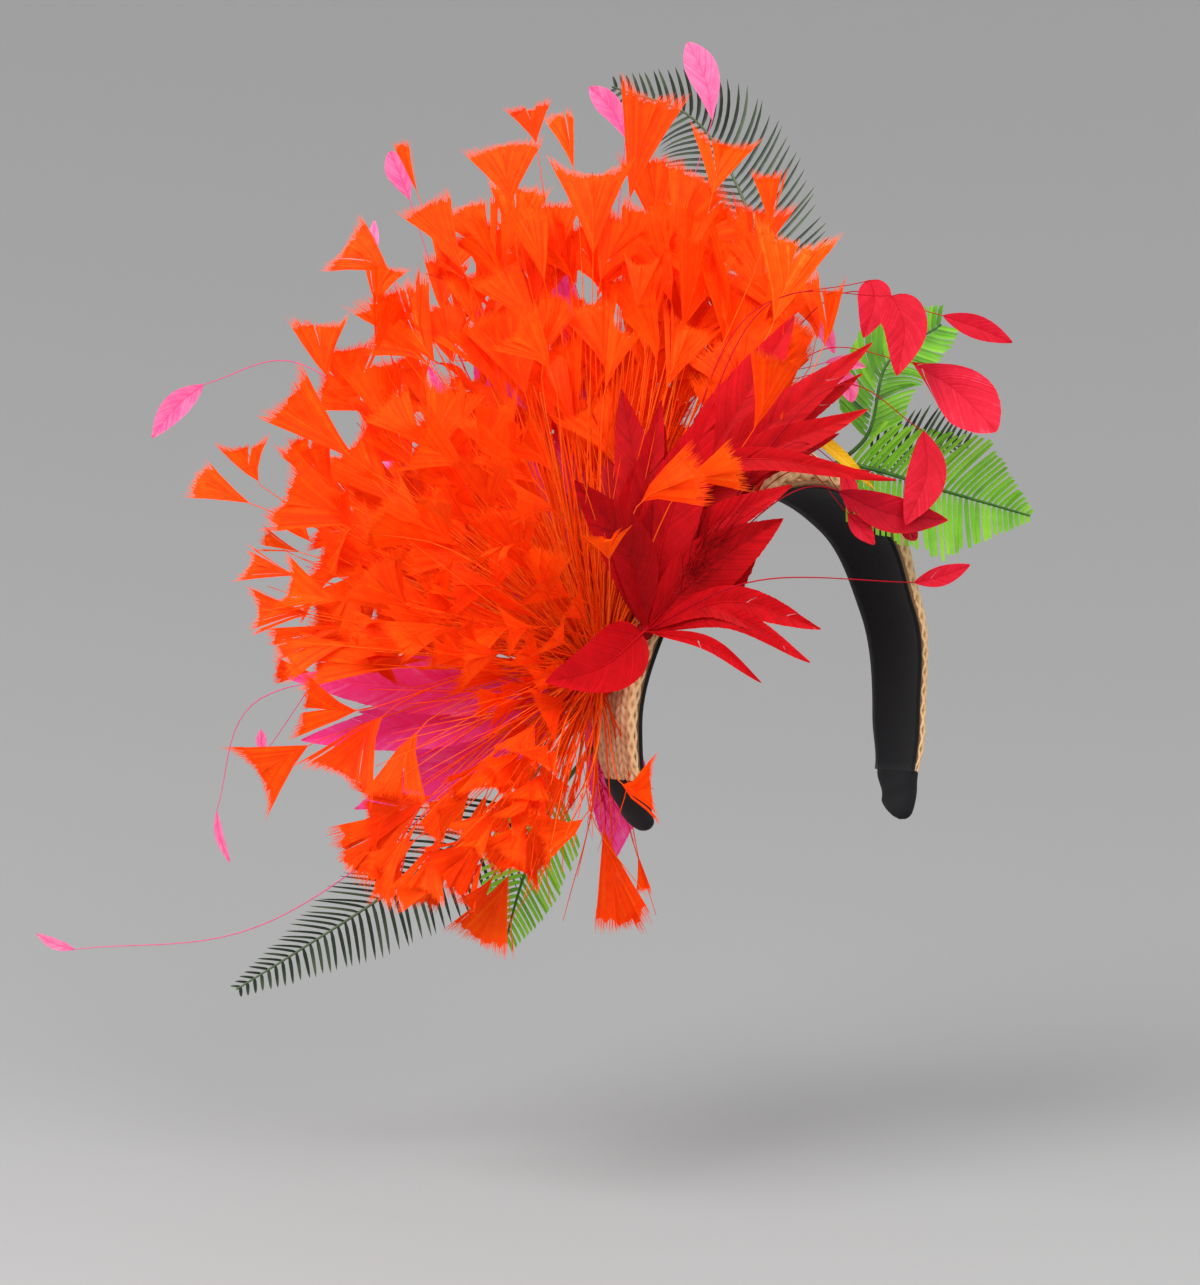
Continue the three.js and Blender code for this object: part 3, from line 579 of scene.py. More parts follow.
def smooth_line(points, count):
    """A smooth line through a few points, as evenly spaced places."""
    points = np.asarray(points, float)
    ends = np.vstack([2 * points[0] - points[1], points, 2 * points[-1] - points[-2]])
    share = np.linspace(0, 1, 16, endpoint=False)[:, None]
    runs = []
    for a, b, c, d in zip(ends, ends[1:], ends[2:], ends[3:]):
        gaps = [max(np.linalg.norm(q - p) ** 0.5, 1e-6) for p, q in ((a, b), (b, c), (c, d))]
        before, here, after = gaps
        leave = ((b - a) / before - (c - a) / (before + here) + (c - b) / here) * here
        arrive = ((c - b) / here - (d - b) / (here + after) + (d - c) / after) * here
        runs.append(
            (2 * share**3 - 3 * share**2 + 1) * b + (share**3 - 2 * share**2 + share) * leave
            + (3 * share**2 - 2 * share**3) * c + (share**3 - share**2) * arrive
        )
    line = np.vstack(runs + [points[-1:]])
    reach = np.concatenate([[0], np.cumsum(np.linalg.norm(np.diff(line, axis=0), axis=1))])
    places = np.linspace(0, reach[-1], count)
    return np.column_stack([np.interp(places, reach, line[:, k]) for k in range(3)])


# Mesh gathering

class Batch:
    """Points, faces and shades for one mesh, gathered piece by piece."""

    def __init__(self):
        self.points = []
        self.faces = []
        self.shades = []
        self.total = 0

    def add(self, points, faces, shade):
        points = np.reshape(points, (-1, 3))
        self.points.append(points)
        self.faces.extend((np.asarray(faces) + self.total).tolist())
        self.shades.append(np.broadcast_to(np.ravel(shade), len(points)))
        self.total += len(points)

    def strips(self, left, right, shade):
        """Narrow strips, each with a left and a right edge: arrays of strips by stations by 3."""
        count, stations = left.shape[:2]
        points = np.stack([left, right], axis=2)
        shades = np.broadcast_to(shade, (count, stations))[:, :, None].repeat(2, axis=2)
        start = (np.arange(count)[:, None] * stations + np.arange(stations - 1)) * 2
        start = start.ravel()
        self.add(points, np.column_stack([start, start + 1, start + 3, start + 2]), shades)

    def grid(self, points, shade, loop=False):
        """A sheet over rows and columns of points, closed round its columns where loop is true."""
        rows, columns = points.shape[:2]
        index = np.arange(rows * columns).reshape(rows, columns)
        if loop:
            index = np.hstack([index, index[:, :1]])
        corners = [index[:-1, :-1], index[:-1, 1:], index[1:, 1:], index[1:, :-1]]
        faces = np.column_stack([corner.ravel() for corner in corners])
        self.add(points, faces, np.broadcast_to(shade, (rows, columns)))

    def tube(self, line, radii, shade, sides=5):
        """A closed tube along a line."""
        line = np.asarray(line, float)
        count = len(line)
        ahead = unit(np.gradient(line, axis=0))
        guide = VIEW_NEAR if abs(np.dot(ahead[count // 2], VIEW_NEAR)) < 0.9 else VIEW_UP
        side = unit(np.cross(ahead, guide))
        other = np.cross(ahead, side)
        angle = np.arange(sides) / sides * 2 * math.pi
        ring = np.cos(angle)[None, :, None] * side[:, None] + np.sin(angle)[None, :, None] * other[:, None]
        points = line[:, None] + ring * np.broadcast_to(radii, count)[:, None, None]
        self.grid(points, np.reshape(np.broadcast_to(shade, count), (count, 1)), loop=True)
        self.close(count, sides)

    def close(self, rows, columns):
        """Caps on the first and the last row of the sheet that was added last, closed round its columns."""
        first = self.total - rows * columns
        self.faces.append(list(range(first, first + columns)))
        self.faces.append(list(range(self.total - 1, self.total - columns - 1, -1)))

    def place(self, name, material):
        """The mesh as an object of the scene."""
        mesh = bpy.data.meshes.new(name)
        mesh.from_pydata((np.vstack(self.points) * MM).tolist(), [], self.faces)
        values = mesh.attributes.new("shade", "FLOAT", "POINT")
        values.data.foreach_set("value", np.concatenate(self.shades).astype(np.float32))
        mesh.polygons.foreach_set("use_smooth", np.full(len(mesh.polygons), True))
        mesh.materials.append(material)
        mesh.update()
        piece = bpy.data.objects.new(name, mesh)
        bpy.context.scene.collection.objects.link(piece)
        return piece

    def make(self, name, surface, node, slot):
        """The mesh as a piece of the object that stands for a solid."""
        piece = self.place(name, surfaces[surface])
        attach(piece, "root")
        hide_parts(node)


class Spine:
    """A feather's shaft: a smooth line, with the way to its side and the way that it faces."""

    def __init__(self, points, facing, count=24):
        self.line = smooth_line(points, count)
        self.ahead = unit(np.gradient(self.line, axis=0))
        self.side = unit(np.cross(self.ahead, facing))
        self.face = np.cross(self.side, self.ahead)
        steps = np.linalg.norm(np.diff(self.line, axis=0), axis=1)
        self.reach = np.concatenate([[0], np.cumsum(steps)])
        self.length = self.reach[-1]

    def along(self, values, places):
        return np.stack([np.interp(places, self.reach, values[:, k]) for k in range(3)], axis=-1)

    def at(self, places, across, lift):
        """Points of the vane: along the shaft, across it, and lifted off its face."""
        beyond = np.maximum(places - self.length, 0)[..., None] * self.ahead[-1]
        return (
            self.along(self.line, places) + beyond
            + self.along(self.side, places) * across[..., None]
            + self.along(self.face, places) * lift[..., None]
        )


# Feathers

def parted(first, last, splits):
    """The ends of the clumps that a vane is parted into."""
    return np.concatenate([[first], np.sort(chance.uniform(first, last, splits)), [last]])


def fan_points(spine, fan, clump, across, reach, spread):
    """Points of one clump of a fan: their place across it, their share of each barb, and a step aside."""
    root = fan["start"] + FAN_ROOT * fan["length"] * (1 - np.abs(across).clip(0, 1)) ** 1.2
    end = fan["start"] + clump["cut"] * (1 - fan["arc"] * across**2 + min(fan["arc"], 0))
    places = root[:, None] + (end - root)[:, None] * reach
    out = (across[:, None] + clump["shift"] + spread) * fan["half_width"] * reach**1.1
    return spine.at(places, out, fan["bend"] * np.abs(out) + (fan["curl"] + clump["lean"]) * reach**2)


def fan_vane(batch, spine, start, length, width, shade):
    """A trimmed fan: barbs from the shaft out to one cut end, parted into clumps, with a fringe."""
    share = np.array(FAN_STATIONS)
    fan = {
        "start": start,
        "length": length,
        "half_width": width / 2,
        "arc": chance.uniform(*FAN_ARC),
        "bend": chance.uniform(*FAN_BEND),
        "curl": chance.uniform(*FAN_CURL) * length,
    }
    ends = parted(-1, 1, int(chance.integers(0, FAN_MOST_CLUMPS)))
    for low, high in zip(ends, ends[1:]):
        barbs = max(3, int(width * BARBS_PER_MM * (high - low)) + 1)
        clump = {
            "shift": chance.normal(0, CLUMP_SHIFT),
            "lean": chance.normal(0, CLUMP_LEAN) * length,
            "cut": length * (1 - abs(chance.normal(0, CLUMP_CUT))),
        }
        across = np.linspace(low, high, barbs)
        reach = share * (1 + chance.normal(0, BARB_UNEVEN, barbs))[:, None]
        # Barbs paler toward their cut end: painted light shining through the thin ends
        tone = shade + chance.normal(0, 0.07, barbs)[:, None] + 0.10 * (share - 0.6)
        batch.grid(fan_points(spine, fan, clump, across, reach, 0), tone)
        hairs = barbs * HAIRS_PER_BARB
        across = np.linspace(low, high, hairs) + chance.normal(0, 0.012, hairs)
        stretch = 1 + chance.uniform(-0.1, 1.0, hairs) * (2.2 / length + 0.08)
        reach = np.stack([np.full(hairs, HAIR_START), (0.9 + stretch) / 2, stretch], axis=1)
        spread = (high - low) / hairs * np.array(HAIR_WIDTHS)
        # The hairs paler still toward their tips: painted light through them
        tone = shade + np.array(HAIR_PALER) + chance.normal(0, 0.05, hairs)[:, None]
        left = fan_points(spine, fan, clump, across, reach, -spread)
        right = fan_points(spine, fan, clump, across, reach, spread)
        batch.strips(left, right, tone)


def outline(shape, width, share):
    """Half the width of a vane along its shaft."""
    form = OUTLINES[shape]
    swell = np.sin(math.pi * np.clip(share, 0, 1) ** form["widest"]) ** form["round"]
    return LEAST_HALF_WIDTH + width / 2 * swell


def leaf_vane(batch, spine, start, width, shape, shade, ragged):
    """A vane on both sides of the shaft: barbs swept forward to the outline, parted into clumps."""
    blade = spine.length - start
    spacing = np.clip(blade / BARBS_IN_A_BLADE, *BARB_SPACING)
    wave = chance.uniform(0, 6.28)
    share = np.array(LEAF_STATIONS)
    for hand in (-1, 1):
        ends = parted(0, 1, chance.poisson(blade / SPLIT_EVERY * ragged))
        for low, high in zip(ends, ends[1:]):
            count = max(3, int((high - low) * blade / spacing) + 1)
            where = np.linspace(low, high, count)
            tip = start + blade * where
            half = outline(shape, width, where)
            sweep = np.radians(BARB_SWEEP_DEG - BARB_CLOSING_DEG * where)
            sweep = sweep + chance.normal(0, 0.03 * ragged)
            root = np.maximum.accumulate(np.maximum(tip - half / np.tan(sweep), start))
            trim = 1 - abs(chance.normal(0, 0.05 * ragged)) - chance.uniform(0, 0.05 * ragged, count)
            places = root[:, None] + ((tip - root) * trim)[:, None] * share**1.15
            out = (half * trim)[:, None] * share**0.92
            ripple = RIPPLE * np.sin(places * RIPPLE_RATE + wave + hand) * out
            lean = chance.normal(0, 0.5 * ragged) * share**2
            lean = lean + chance.normal(0, 0.05, count)[:, None] * share
            # Barbs paler toward the outline: painted light shining through their thin tips
            tone = shade + chance.normal(0, 0.06, count)[:, None] + 0.10 * (share - 0.5)
            batch.grid(spine.at(places, hand * out, VANE_CUP * out + ripple + lean), tone)


def shaft(batch, spine, foot, tip, shade, sides=5):
    """The shaft itself, a tube that thins out to its tip."""
    share = np.linspace(0, 1, len(spine.line))
    batch.tube(spine.line, foot + (tip - foot) * share**0.8, shade, sides)


def fan_feather(fans, quills, root, end, length, width, turn, roll, shade):
    """A bare quill with a fan at its end."""
    line = unit(end - root)
    ahead = turned(line, VIEW_NEAR, turn)
    facing = turned(VIEW_NEAR, ahead, roll)
    point = end - ahead * length
    bend = root + (point - root) * QUILL_BEND_SHARE + VIEW_UP * QUILL_BOW
    bend = bend + chance.normal(0, QUILL_STRAY, 3)
    spine = Spine([root, bend, point, end], facing, 18)
    fan_vane(fans, spine, spine.length - length, length, width, shade)
    quill = Spine([root, bend, point, point + ahead * length * 0.8], facing, 12)
    shaft(quills, quill, QUILL_RADIUS, QUILL_TIP, shade + chance.uniform(*QUILL_PALER), sides=4)


def broad_feather(batch, root, row, shade, roll=0, ragged=0.7):
    """A broad feather from the binding out to its tip."""
    right, up, near, width, bow, _, shape = row
    end = spot(right, up, near)
    line = end - root
    side = unit(np.cross(VIEW_NEAR, line))
    middle = root + line * 0.5 + side * bow
    facing = turned(unit(np.cross(line, side)), unit(line), roll)
    spine = Spine([root, middle, end], facing, 26)
    leaf_vane(batch, spine, spine.length * SHAFT_BARE, width, shape, shade, ragged)
    shaft(batch, spine, SHAFT_RADIUS, SHAFT_TIP, shade + 0.1)


def paddle_feather(batch, root, row, shade, ragged=0.4):
    """A bare stem that ends in a paddle."""
    bend, base, tip = (spot(*place) for place in row[:3])
    width, shape = row[3:]
    stem = smooth_line([root, bend, base], 44)
    arrive = unit(stem[-1] - stem[-2])
    blade = np.linalg.norm(tip - base)
    middle = (base + tip) / 2 + (arrive - unit(tip - base)) * blade * PADDLE_BOW
    vane = Spine([base, middle, tip], VIEW_NEAR, 16)
    leaf_vane(batch, vane, 0, width, shape, shade, ragged)
    line = np.vstack([stem[:-1], vane.line])
    batch.tube(line, np.linspace(STEM_RADIUS, STEM_TIP, len(line)), shade - 0.12, sides=5)


def frond(batch, row, blunt, rib_shade):
    """A frond: a ribbed stalk and pairs of folded leaflets, cut off blunt or drawn out to points."""
    root = band_point(row["deg"], row["across"], LINING_WALL + STRAW_WALL + 2 * GAP)
    root = root + band_normal(row["deg"]) * ROOT_STANDOFF
    spots = [spot(*place) for place in row["rib"]]
    rib = smooth_line([root, *spots], 40)
    batch.tube(rib, np.linspace(RIB_RADIUS, RIB_TIP, len(rib)), rib_shade, sides=6)
    facing = turned(VIEW_NEAR, unit(spots[-1] - spots[0]), row["face"])
    blade = Spine(spots, facing, 40)
    share = np.linspace(0, 1, 7)
    taper = (1 - 0.25 * share**6) if blunt else (1 - share**3) ** 0.6
    for i in range(row["pairs"]):
        where = (i + 0.5) / row["pairs"]
        for hand, sweep, trim in zip((-1, 1), row["sweeps"], row.get("trims", (1, 1))):
            length = np.interp(where, [0, 0.5, 1], row["lengths"]) * trim
            length = length * chance.uniform(0.96, 1.03)
            angle = math.radians(sweep) * (1 - LEAFLET_CLOSING * where) + chance.normal(0, 0.025)
            places = where * blade.length + length * math.cos(angle) * share**1.1
            out = 0.3 + length * math.sin(angle) * share**0.95
            sag = LEAFLET_SAG * length * share + chance.normal(0, 0.02) * length * share**2
            half = row["width"] / 2 * np.minimum(1, 0.6 + 3 * share) * taper + 0.06
            # The leaflets' shade scatters about the frond's tone, which is lowered as painted shade where a
            # frond lies in shade
            shade = row.get("tone", 0.5) + chance.normal(0, 0.08) + 0.16 * (share - 0.4)
            ridges = [
                blade.at(places + edge * half, hand * out, sag + abs(edge) * half * LEAFLET_FOLD)
                for edge in (-1, 0, 1)
            ]
            batch.grid(np.stack(ridges, axis=1), shade[:, None])


def loose_barbs(batch, root, row):
    """Loose barbs that curl away beside a feather on its way to a spot."""
    right, up, near, spread, count = row
    way = spot(right, up, near) - root
    for _ in range(count):
        start = root + way * chance.uniform(0.35, 0.75) + chance.normal(0, spread * 0.35, 3)
        end = start + way * chance.uniform(0.1, 0.4) + chance.normal(0, spread, 3)
        middle = (start + end) / 2 + chance.normal(0, spread * 0.3, 3)
        line = smooth_line([start, middle, end], 8)
        radii = np.linspace(LOOSE_RADIUS, LOOSE_TIP, len(line))
        batch.tube(line, radii, LOOSE_SHADE + chance.normal(0, 0.06), sides=3)


def wound_binding(batch, bound):
    """The bound ends of a bunch: a flattened dome wound round with thread."""
    out = band_normal(bound["deg"])
    side = unit(np.cross(out, [0, 1.0, 0]))
    other = np.cross(out, side)
    polar = np.linspace(BINDING_POLE, math.pi - BINDING_POLE, BINDING_RINGS)[:, None]
    angle = np.arange(BINDING_SIDES)[None] / BINDING_SIDES * 2 * math.pi
    ridge = 1 + BINDING_RIDGE * np.cos(polar * BINDING_TURNS + angle)
    flat = bound["radius"] * np.sin(polar) * ridge
    points = (
        binding_centre(bound)
        + (flat * np.cos(angle))[..., None] * side
        + (flat * np.sin(angle))[..., None] * other
        + (bound["height"] * np.cos(polar) * ridge)[..., None] * out
    )
    batch.grid(points, BINDING_SHADE, loop=True)


# Materials

def procedural(name):
    """A surface coloured by its shade along a ramp, broken by noise, and lit through where it is thin."""
    row = SURFACES[name]
    material = bpy.data.materials.new(name)
    material.use_nodes = True
    tree = material.node_tree
    surface = tree.nodes["Principled BSDF"]
    surface.inputs["Roughness"].default_value = row["rough"]
    surface.inputs["Sheen Weight"].default_value = row.get("sheen", 0)
    surface.inputs["Sheen Roughness"].default_value = SHEEN_ROUGHNESS
    surface.inputs["Specular IOR Level"].default_value = row["gloss"]
    shade = tree.nodes.new("ShaderNodeAttribute")
    shade.attribute_name = "shade"
    place = tree.nodes.new("ShaderNodeTexCoord")
    noise = tree.nodes.new("ShaderNodeTexNoise")
    noise.inputs["Scale"].default_value = row["grain"]
    noise.inputs["Detail"].default_value = 4
    tree.links.new(place.outputs["Object"], noise.inputs["Vector"])
    mottle = tree.nodes.new("ShaderNodeMath")
    mottle.operation = "MULTIPLY_ADD"
    mottle.inputs[1].default_value = MOTTLE
    tree.links.new(noise.outputs["Fac"], mottle.inputs[0])
    tree.links.new(shade.outputs["Fac"], mottle.inputs[2])
    centred = tree.nodes.new("ShaderNodeMath")
    centred.operation = "SUBTRACT"
    centred.inputs[1].default_value = MOTTLE / 2
    tree.links.new(mottle.outputs[0], centred.inputs[0])
    ramp = tree.nodes.new("ShaderNodeValToRGB")
    first, *between, last = row["stops"]
    for element, (position, colour) in zip(ramp.color_ramp.elements, (first, last)):
        element.position = position
        element.color = (*colour, 1)
    for position, colour in between:
        ramp.color_ramp.elements.new(position).color = (*colour, 1)
    tree.links.new(centred.outputs[0], ramp.inputs["Fac"])
    tree.links.new(ramp.outputs["Color"], surface.inputs["Base Color"])
    if "relief" in row:
        relief = tree.nodes.new("ShaderNodeBump")
        relief.inputs["Strength"].default_value = row["relief"]
        relief.inputs["Distance"].default_value = RELIEF_DEPTH
        tree.links.new(noise.outputs["Fac"], relief.inputs["Height"])
        tree.links.new(relief.outputs["Normal"], surface.inputs["Normal"])
    if "through" in row:
        glow = tree.nodes.new("ShaderNodeBsdfTranslucent")
        tree.links.new(ramp.outputs["Color"], glow.inputs["Color"])
        mix = tree.nodes.new("ShaderNodeMixShader")
        mix.inputs["Fac"].default_value = row["through"]
        tree.links.new(surface.outputs["BSDF"], mix.inputs[1])
        tree.links.new(glow.outputs["BSDF"], mix.inputs[2])
        tree.links.new(mix.outputs["Shader"], tree.nodes["Material Output"].inputs["Surface"])
    return material


surfaces = {name: procedural(name) for name in SURFACES}


# Headband

def even_degrees(first, last, pitch):
    """Angles along the band at even distances."""
    fine = np.linspace(first, last, 400)
    line = band_point(fine, 0, STRAW_OFF)
    reach = np.concatenate([[0], np.cumsum(np.linalg.norm(np.diff(line, axis=0), axis=1))])
    count = int(reach[-1] / pitch)
    return np.interp((np.arange(count) + 0.5) / count * reach[-1], reach, fine)


def closed_wall(batch, off, thickness, margin, shade):
    """A smooth closed wall along the band."""
    degrees = np.linspace(-BAND_END_DEG, BAND_END_DEG, WALL_STEPS)
    across = np.linspace(-1, 1, WALL_COLUMNS)
    loop = [(place, off + thickness) for place in across] + [(place, off) for place in across[::-1]]
    rows = [
        np.array([band_point(deg, place, height, margin) for place, height in loop]) for deg in degrees
    ]
    batch.grid(np.array(rows), shade, loop=True)
    columns = len(loop)
    first = batch.total - WALL_STEPS * columns
    for row in (0, WALL_STEPS - 1):
        start = first + row * columns
        end = start + columns - 1
        for k in range(WALL_COLUMNS - 1):
            batch.faces.append([start + k, start + k + 1, end - k - 1, end - k])


def stitches(batch, degrees, deg_per_mm):
    """Rows of leaning stitches across the band, each a small raised grain."""
    along, aside = np.meshgrid(np.linspace(-1, 1, 6), np.linspace(-1, 1, 5), indexing="ij")
    lean = math.radians(STITCH_LEAN_DEG)
    rise = STITCH_RISE * np.sqrt(np.maximum(0, 1 - aside**2)) * (1 - 0.75 * along**2)
    off = STRAW_OFF + BRAID_BED - STITCH_SINK + rise + STITCH_SLOPE * along
    for deg in degrees:
        width = band_column("width", deg)
        cell = (width - 2 * STITCH_MARGIN) / STITCH_COLUMNS
        half = min(cell * STITCH_FILL_ACROSS, STITCH_PITCH * STITCH_FILL_ALONG)
        for column in range(STITCH_COLUMNS):
            hand = 1 if column % 2 == 0 else -1
            run = along * STITCH_LENGTH * math.cos(lean) - hand * aside * half * math.sin(lean)
            span = hand * along * STITCH_LENGTH * math.sin(lean) * cell / STITCH_PITCH * STITCH_TURN
            span = span + aside * half * math.cos(lean)
            middle = -width / 2 + STITCH_MARGIN + cell * (column + 0.5)
            place = np.clip((middle + span) / (width / 2), -1, 1)
            # Painted shade and painted highlight: each stitch darker at its sides and lighter on its top
            shade = STITCH_SHADE + chance.normal(0, 0.08) + STITCH_PAINTED_SHADING * (rise / STITCH_RISE - 0.75)
            batch.grid(band_point(deg + run * deg_per_mm, place, off), shade)


def rolled_edge(batch, hand, deg_per_mm):
    """The rolled rope along one edge of the straw, thicker where the table says."""
    degrees = np.linspace(-BAND_END_DEG, BAND_END_DEG, ROLL_STEPS)
    angle = np.arange(ROLL_SIDES)[None] / ROLL_SIDES * 2 * math.pi
    phase = degrees[:, None] / deg_per_mm * math.pi / STITCH_PITCH
    weave = np.maximum(np.cos(ROLL_STRANDS * angle + phase), np.cos(ROLL_STRANDS * angle - phase))
    bulk = np.full(len(degrees), EDGE_ROLL)
    for roll in THICK_ROLLS:
        if roll["edge"] == hand:
            bulk += roll["rise"] * np.exp(-(((degrees - roll["deg"]) / roll["spread"]) ** 2))
    bulk *= np.interp(np.abs(degrees), [BAND_END_DEG - END_TAPER_DEG, BAND_END_DEG], [1, END_TAPER])
    bulk = bulk[:, None]
    radius = bulk - ROLL_LESS + ROLL_RELIEF * weave
    half_width = band_column("width", degrees)[:, None] / 2
    place = hand * (1 - (bulk - ROLL_INSET) / half_width) + radius * np.cos(angle) / half_width
    off = STRAW_OFF + bulk - ROLL_SINK + radius * np.sin(angle)
    # Painted shade in the grooves between strands and a painted highlight on them
    shade = ROLL_SHADE + ROLL_PAINTED_SHADING * weave
    batch.grid(band_point(degrees[:, None], place, off), shade, loop=True)


def straw_braid():
    """The straw: a thin bed under rows of leaning stitches, with a rolled rope along each edge."""
    batch = Batch()
    # The bed's dark colour is painted shade between the stitches
    closed_wall(batch, STRAW_OFF, BRAID_BED, 0, BED_PAINTED_SHADE)
    degrees = even_degrees(-BAND_END_DEG, BAND_END_DEG, STITCH_PITCH)
    deg_per_mm = (2 * BAND_END_DEG) / (len(degrees) * STITCH_PITCH)
    stitches(batch, degrees, deg_per_mm)
    for hand in (-1, 1):
        rolled_edge(batch, hand, deg_per_mm)
    batch.make("straw_braid", "straw_braid", "straw_band", "straw")


def velvet_lining():
    batch = Batch()
    closed_wall(batch, 0, LINING_WALL, LINING_SHOWS, CLOTH_SHADE)
    batch.make("velvet_lining", "black_velvet", "band_lining", "black_velvet")


def velvet_sleeve(name, hand):
    """A folded velvet sleeve over one end of the band, rounded at its end and creased."""
    batch = Batch()
    share = np.linspace(0, 1, SLEEVE_STEPS)[:, None]
    angle = np.arange(SLEEVE_SIDES)[None] / SLEEVE_SIDES * 2 * math.pi
    deg = hand * (SLEEVE_START_DEG + (SLEEVE_END_DEG - SLEEVE_START_DEG) * share)
    past = np.maximum(0, (share - (1 - SLEEVE_CLOSING)) / SLEEVE_CLOSING)
    before = np.maximum(0, (SLEEVE_OPENING - share) / SLEEVE_OPENING)
    fill = np.sqrt(np.maximum(SLEEVE_SHUT, 1 - past**2)) * np.sqrt(np.maximum(SLEEVE_SHUT, 1 - before**2))
    crease = 1 + SLEEVE_CREASE * np.sin(share * 16 + 3 * angle) * np.sin(share * math.pi)
    across = np.sign(np.cos(angle)) * np.abs(np.cos(angle)) ** SLEEVE_SQUARE * fill
    height = np.sign(np.sin(angle)) * np.abs(np.sin(angle)) ** SLEEVE_SQUARE * fill * crease
    off = SLEEVE_WALL / 2 * (1 + height) - SLEEVE_INSIDE
    batch.grid(band_point(deg, across, off, SLEEVE_MARGIN), CLOTH_SHADE, loop=True)
    batch.close(SLEEVE_STEPS, SLEEVE_SIDES)
    batch.make("velvet_" + name, "black_velvet", name, "black_velvet")


# Bunches

def spray_spot(centre, heading, reach, near):
    """A spot of the side view at some reach from a binding."""
    turn = math.radians(heading)
    right = centre @ VIEW_RIGHT + reach * math.cos(turn)
    return spot(right, centre @ VIEW_UP + reach * math.sin(turn), near)


def orange_spray():
    """The quills of the outline, many more that fill the body of the spray, and bare ones among them."""
    bound = BINDINGS["orange"]
    centre = binding_centre(bound)
    outer, body, deep, quills = Batch(), Batch(), Batch(), Batch()
    across = np.array([0, 1.0, 0])
    along = unit(np.cross(band_normal(bound["deg"]), across))

    def root():
        first, second = ROOT_SCATTER
        return centre + along * chance.normal(0, first) + across * chance.normal(0, second)

    for right, up, near, length, width, turn, roll in ORANGE_FANS:
        shade = OUTER_SHADE + chance.normal(0, 0.06)
        fan_feather(outer, quills, root(), spot(right, up, near), length, width, turn, roll, shade)
    degrees, reaches = np.array(SPRAY_REACH).T
    for (first, last), shares, nears, count, lengths in SPRAY_ZONES:
        fans = deep if max(nears) <= 0 else body
        for i in range(count):
            heading = first + (last - first) * ((i * GOLDEN) % 1)
            share = chance.uniform(*shares)
            reach = np.interp(heading, degrees, reaches) * share
            end = spray_spot(centre, heading, reach, chance.uniform(*nears))
            length = chance.uniform(*lengths)
            width = length * chance.uniform(*BODY_WIDTH)
            # Painted shade: fans nearer the binding are darker, the outline's fans lighter
            shade = BODY_SHADE + BODY_PALER * share + chance.normal(0, 0.05)
            start = root()
            turn = chance.normal(0, BODY_TURN_DEG)
            roll = chance.normal(0, BODY_ROLL_DEG)
            fan_feather(fans, quills, start, end, length, width, turn, roll, shade)
    for row in BARE_QUILLS:
        for _ in range(row["count"]):
            heading = chance.uniform(*row["heading"])
            reach = chance.uniform(*row["reach"])
            end = spray_spot(centre, heading, reach, chance.uniform(*row["near"]))
            start = root()
            middle = (start + end) / 2 + chance.normal(0, row["sway"], 3)
            line = smooth_line([start, middle, end], 14)
            radii = np.linspace(BARE_RADIUS, BARE_TIP, len(line))
            quills.tube(line, radii, chance.uniform(*BARE_SHADE), sides=4)
    wound_binding(quills, bound)
    pieces = {"fans_outer": outer, "fans_body": body, "fans_deep": deep, "quills": quills}
    for name, batch in pieces.items():
        batch.make("orange_" + name, "orange_feather", "orange_spray", "orange_feather")


def plume(colour, leaves, paddles, leaf_surface, paddle_surface, tone, node, slot):
    """Broad feathers with others behind them, and stripped stems with paddle ends."""
    bound = BINDINGS[colour]
    root = binding_centre(bound) + VIEW_NEAR * bound["radius"]
    broad, stems = Batch(), Batch()
    home = np.array([root @ VIEW_RIGHT, root @ VIEW_UP])
    for row in leaves:
        broad_feather(broad, root, row, tone + chance.normal(0, 0.05))
        right, up, near, width, bow, behind, shape = row
        for _ in range(behind):
            tip = home + (np.array([right, up]) - home) * chance.uniform(*BEHIND_REACH)
            tip = tip + chance.normal(0, BEHIND_SCATTER, 2)
            depth = near - chance.uniform(*BEHIND_DEPTH)
            bend = bow + chance.normal(0, BEHIND_BOW)
            other = (*tip, depth, width * BEHIND_WIDTH, bend, 0, shape)
            # Painted shade: a feather lying behind gets a lower tone
            darker = tone - chance.uniform(*BEHIND_PAINTED_SHADE)
            broad_feather(broad, root, other, darker, chance.normal(0, BEHIND_ROLL_DEG), BEHIND_RAGGED)
    for row in paddles:
        paddle_feather(stems, root, row, 0.55 + chance.normal(0, 0.07))
    for row in LOOSE_BARBS[colour]:
        loose_barbs(broad, root, row)
    wound_binding(broad, bound)
    broad.make(colour + "_broad_feathers", leaf_surface, node, slot)
    stems.make(colour + "_paddle_feathers", paddle_surface, node, slot)


def fronds(table, slot, blunt, rib_shade):
    for name, row in table.items():
        batch = Batch()
        frond(batch, row, blunt, rib_shade)
        batch.make(name + "_leaflets", slot, name, slot)


def yellow_biot():
    batch = Batch()
    root = band_point(YELLOW_BIOT["deg"], YELLOW_BIOT["across"], LINING_WALL + STRAW_WALL + 3 * GAP)
    root = root + band_normal(YELLOW_BIOT["deg"]) * ROOT_STANDOFF
    paddle_feather(batch, root, YELLOW_BIOT["stem"], 0.5, 1.5)
    batch.make("yellow_biot_vane", "yellow_biot", "yellow_biot", "yellow_feather")


# Stage

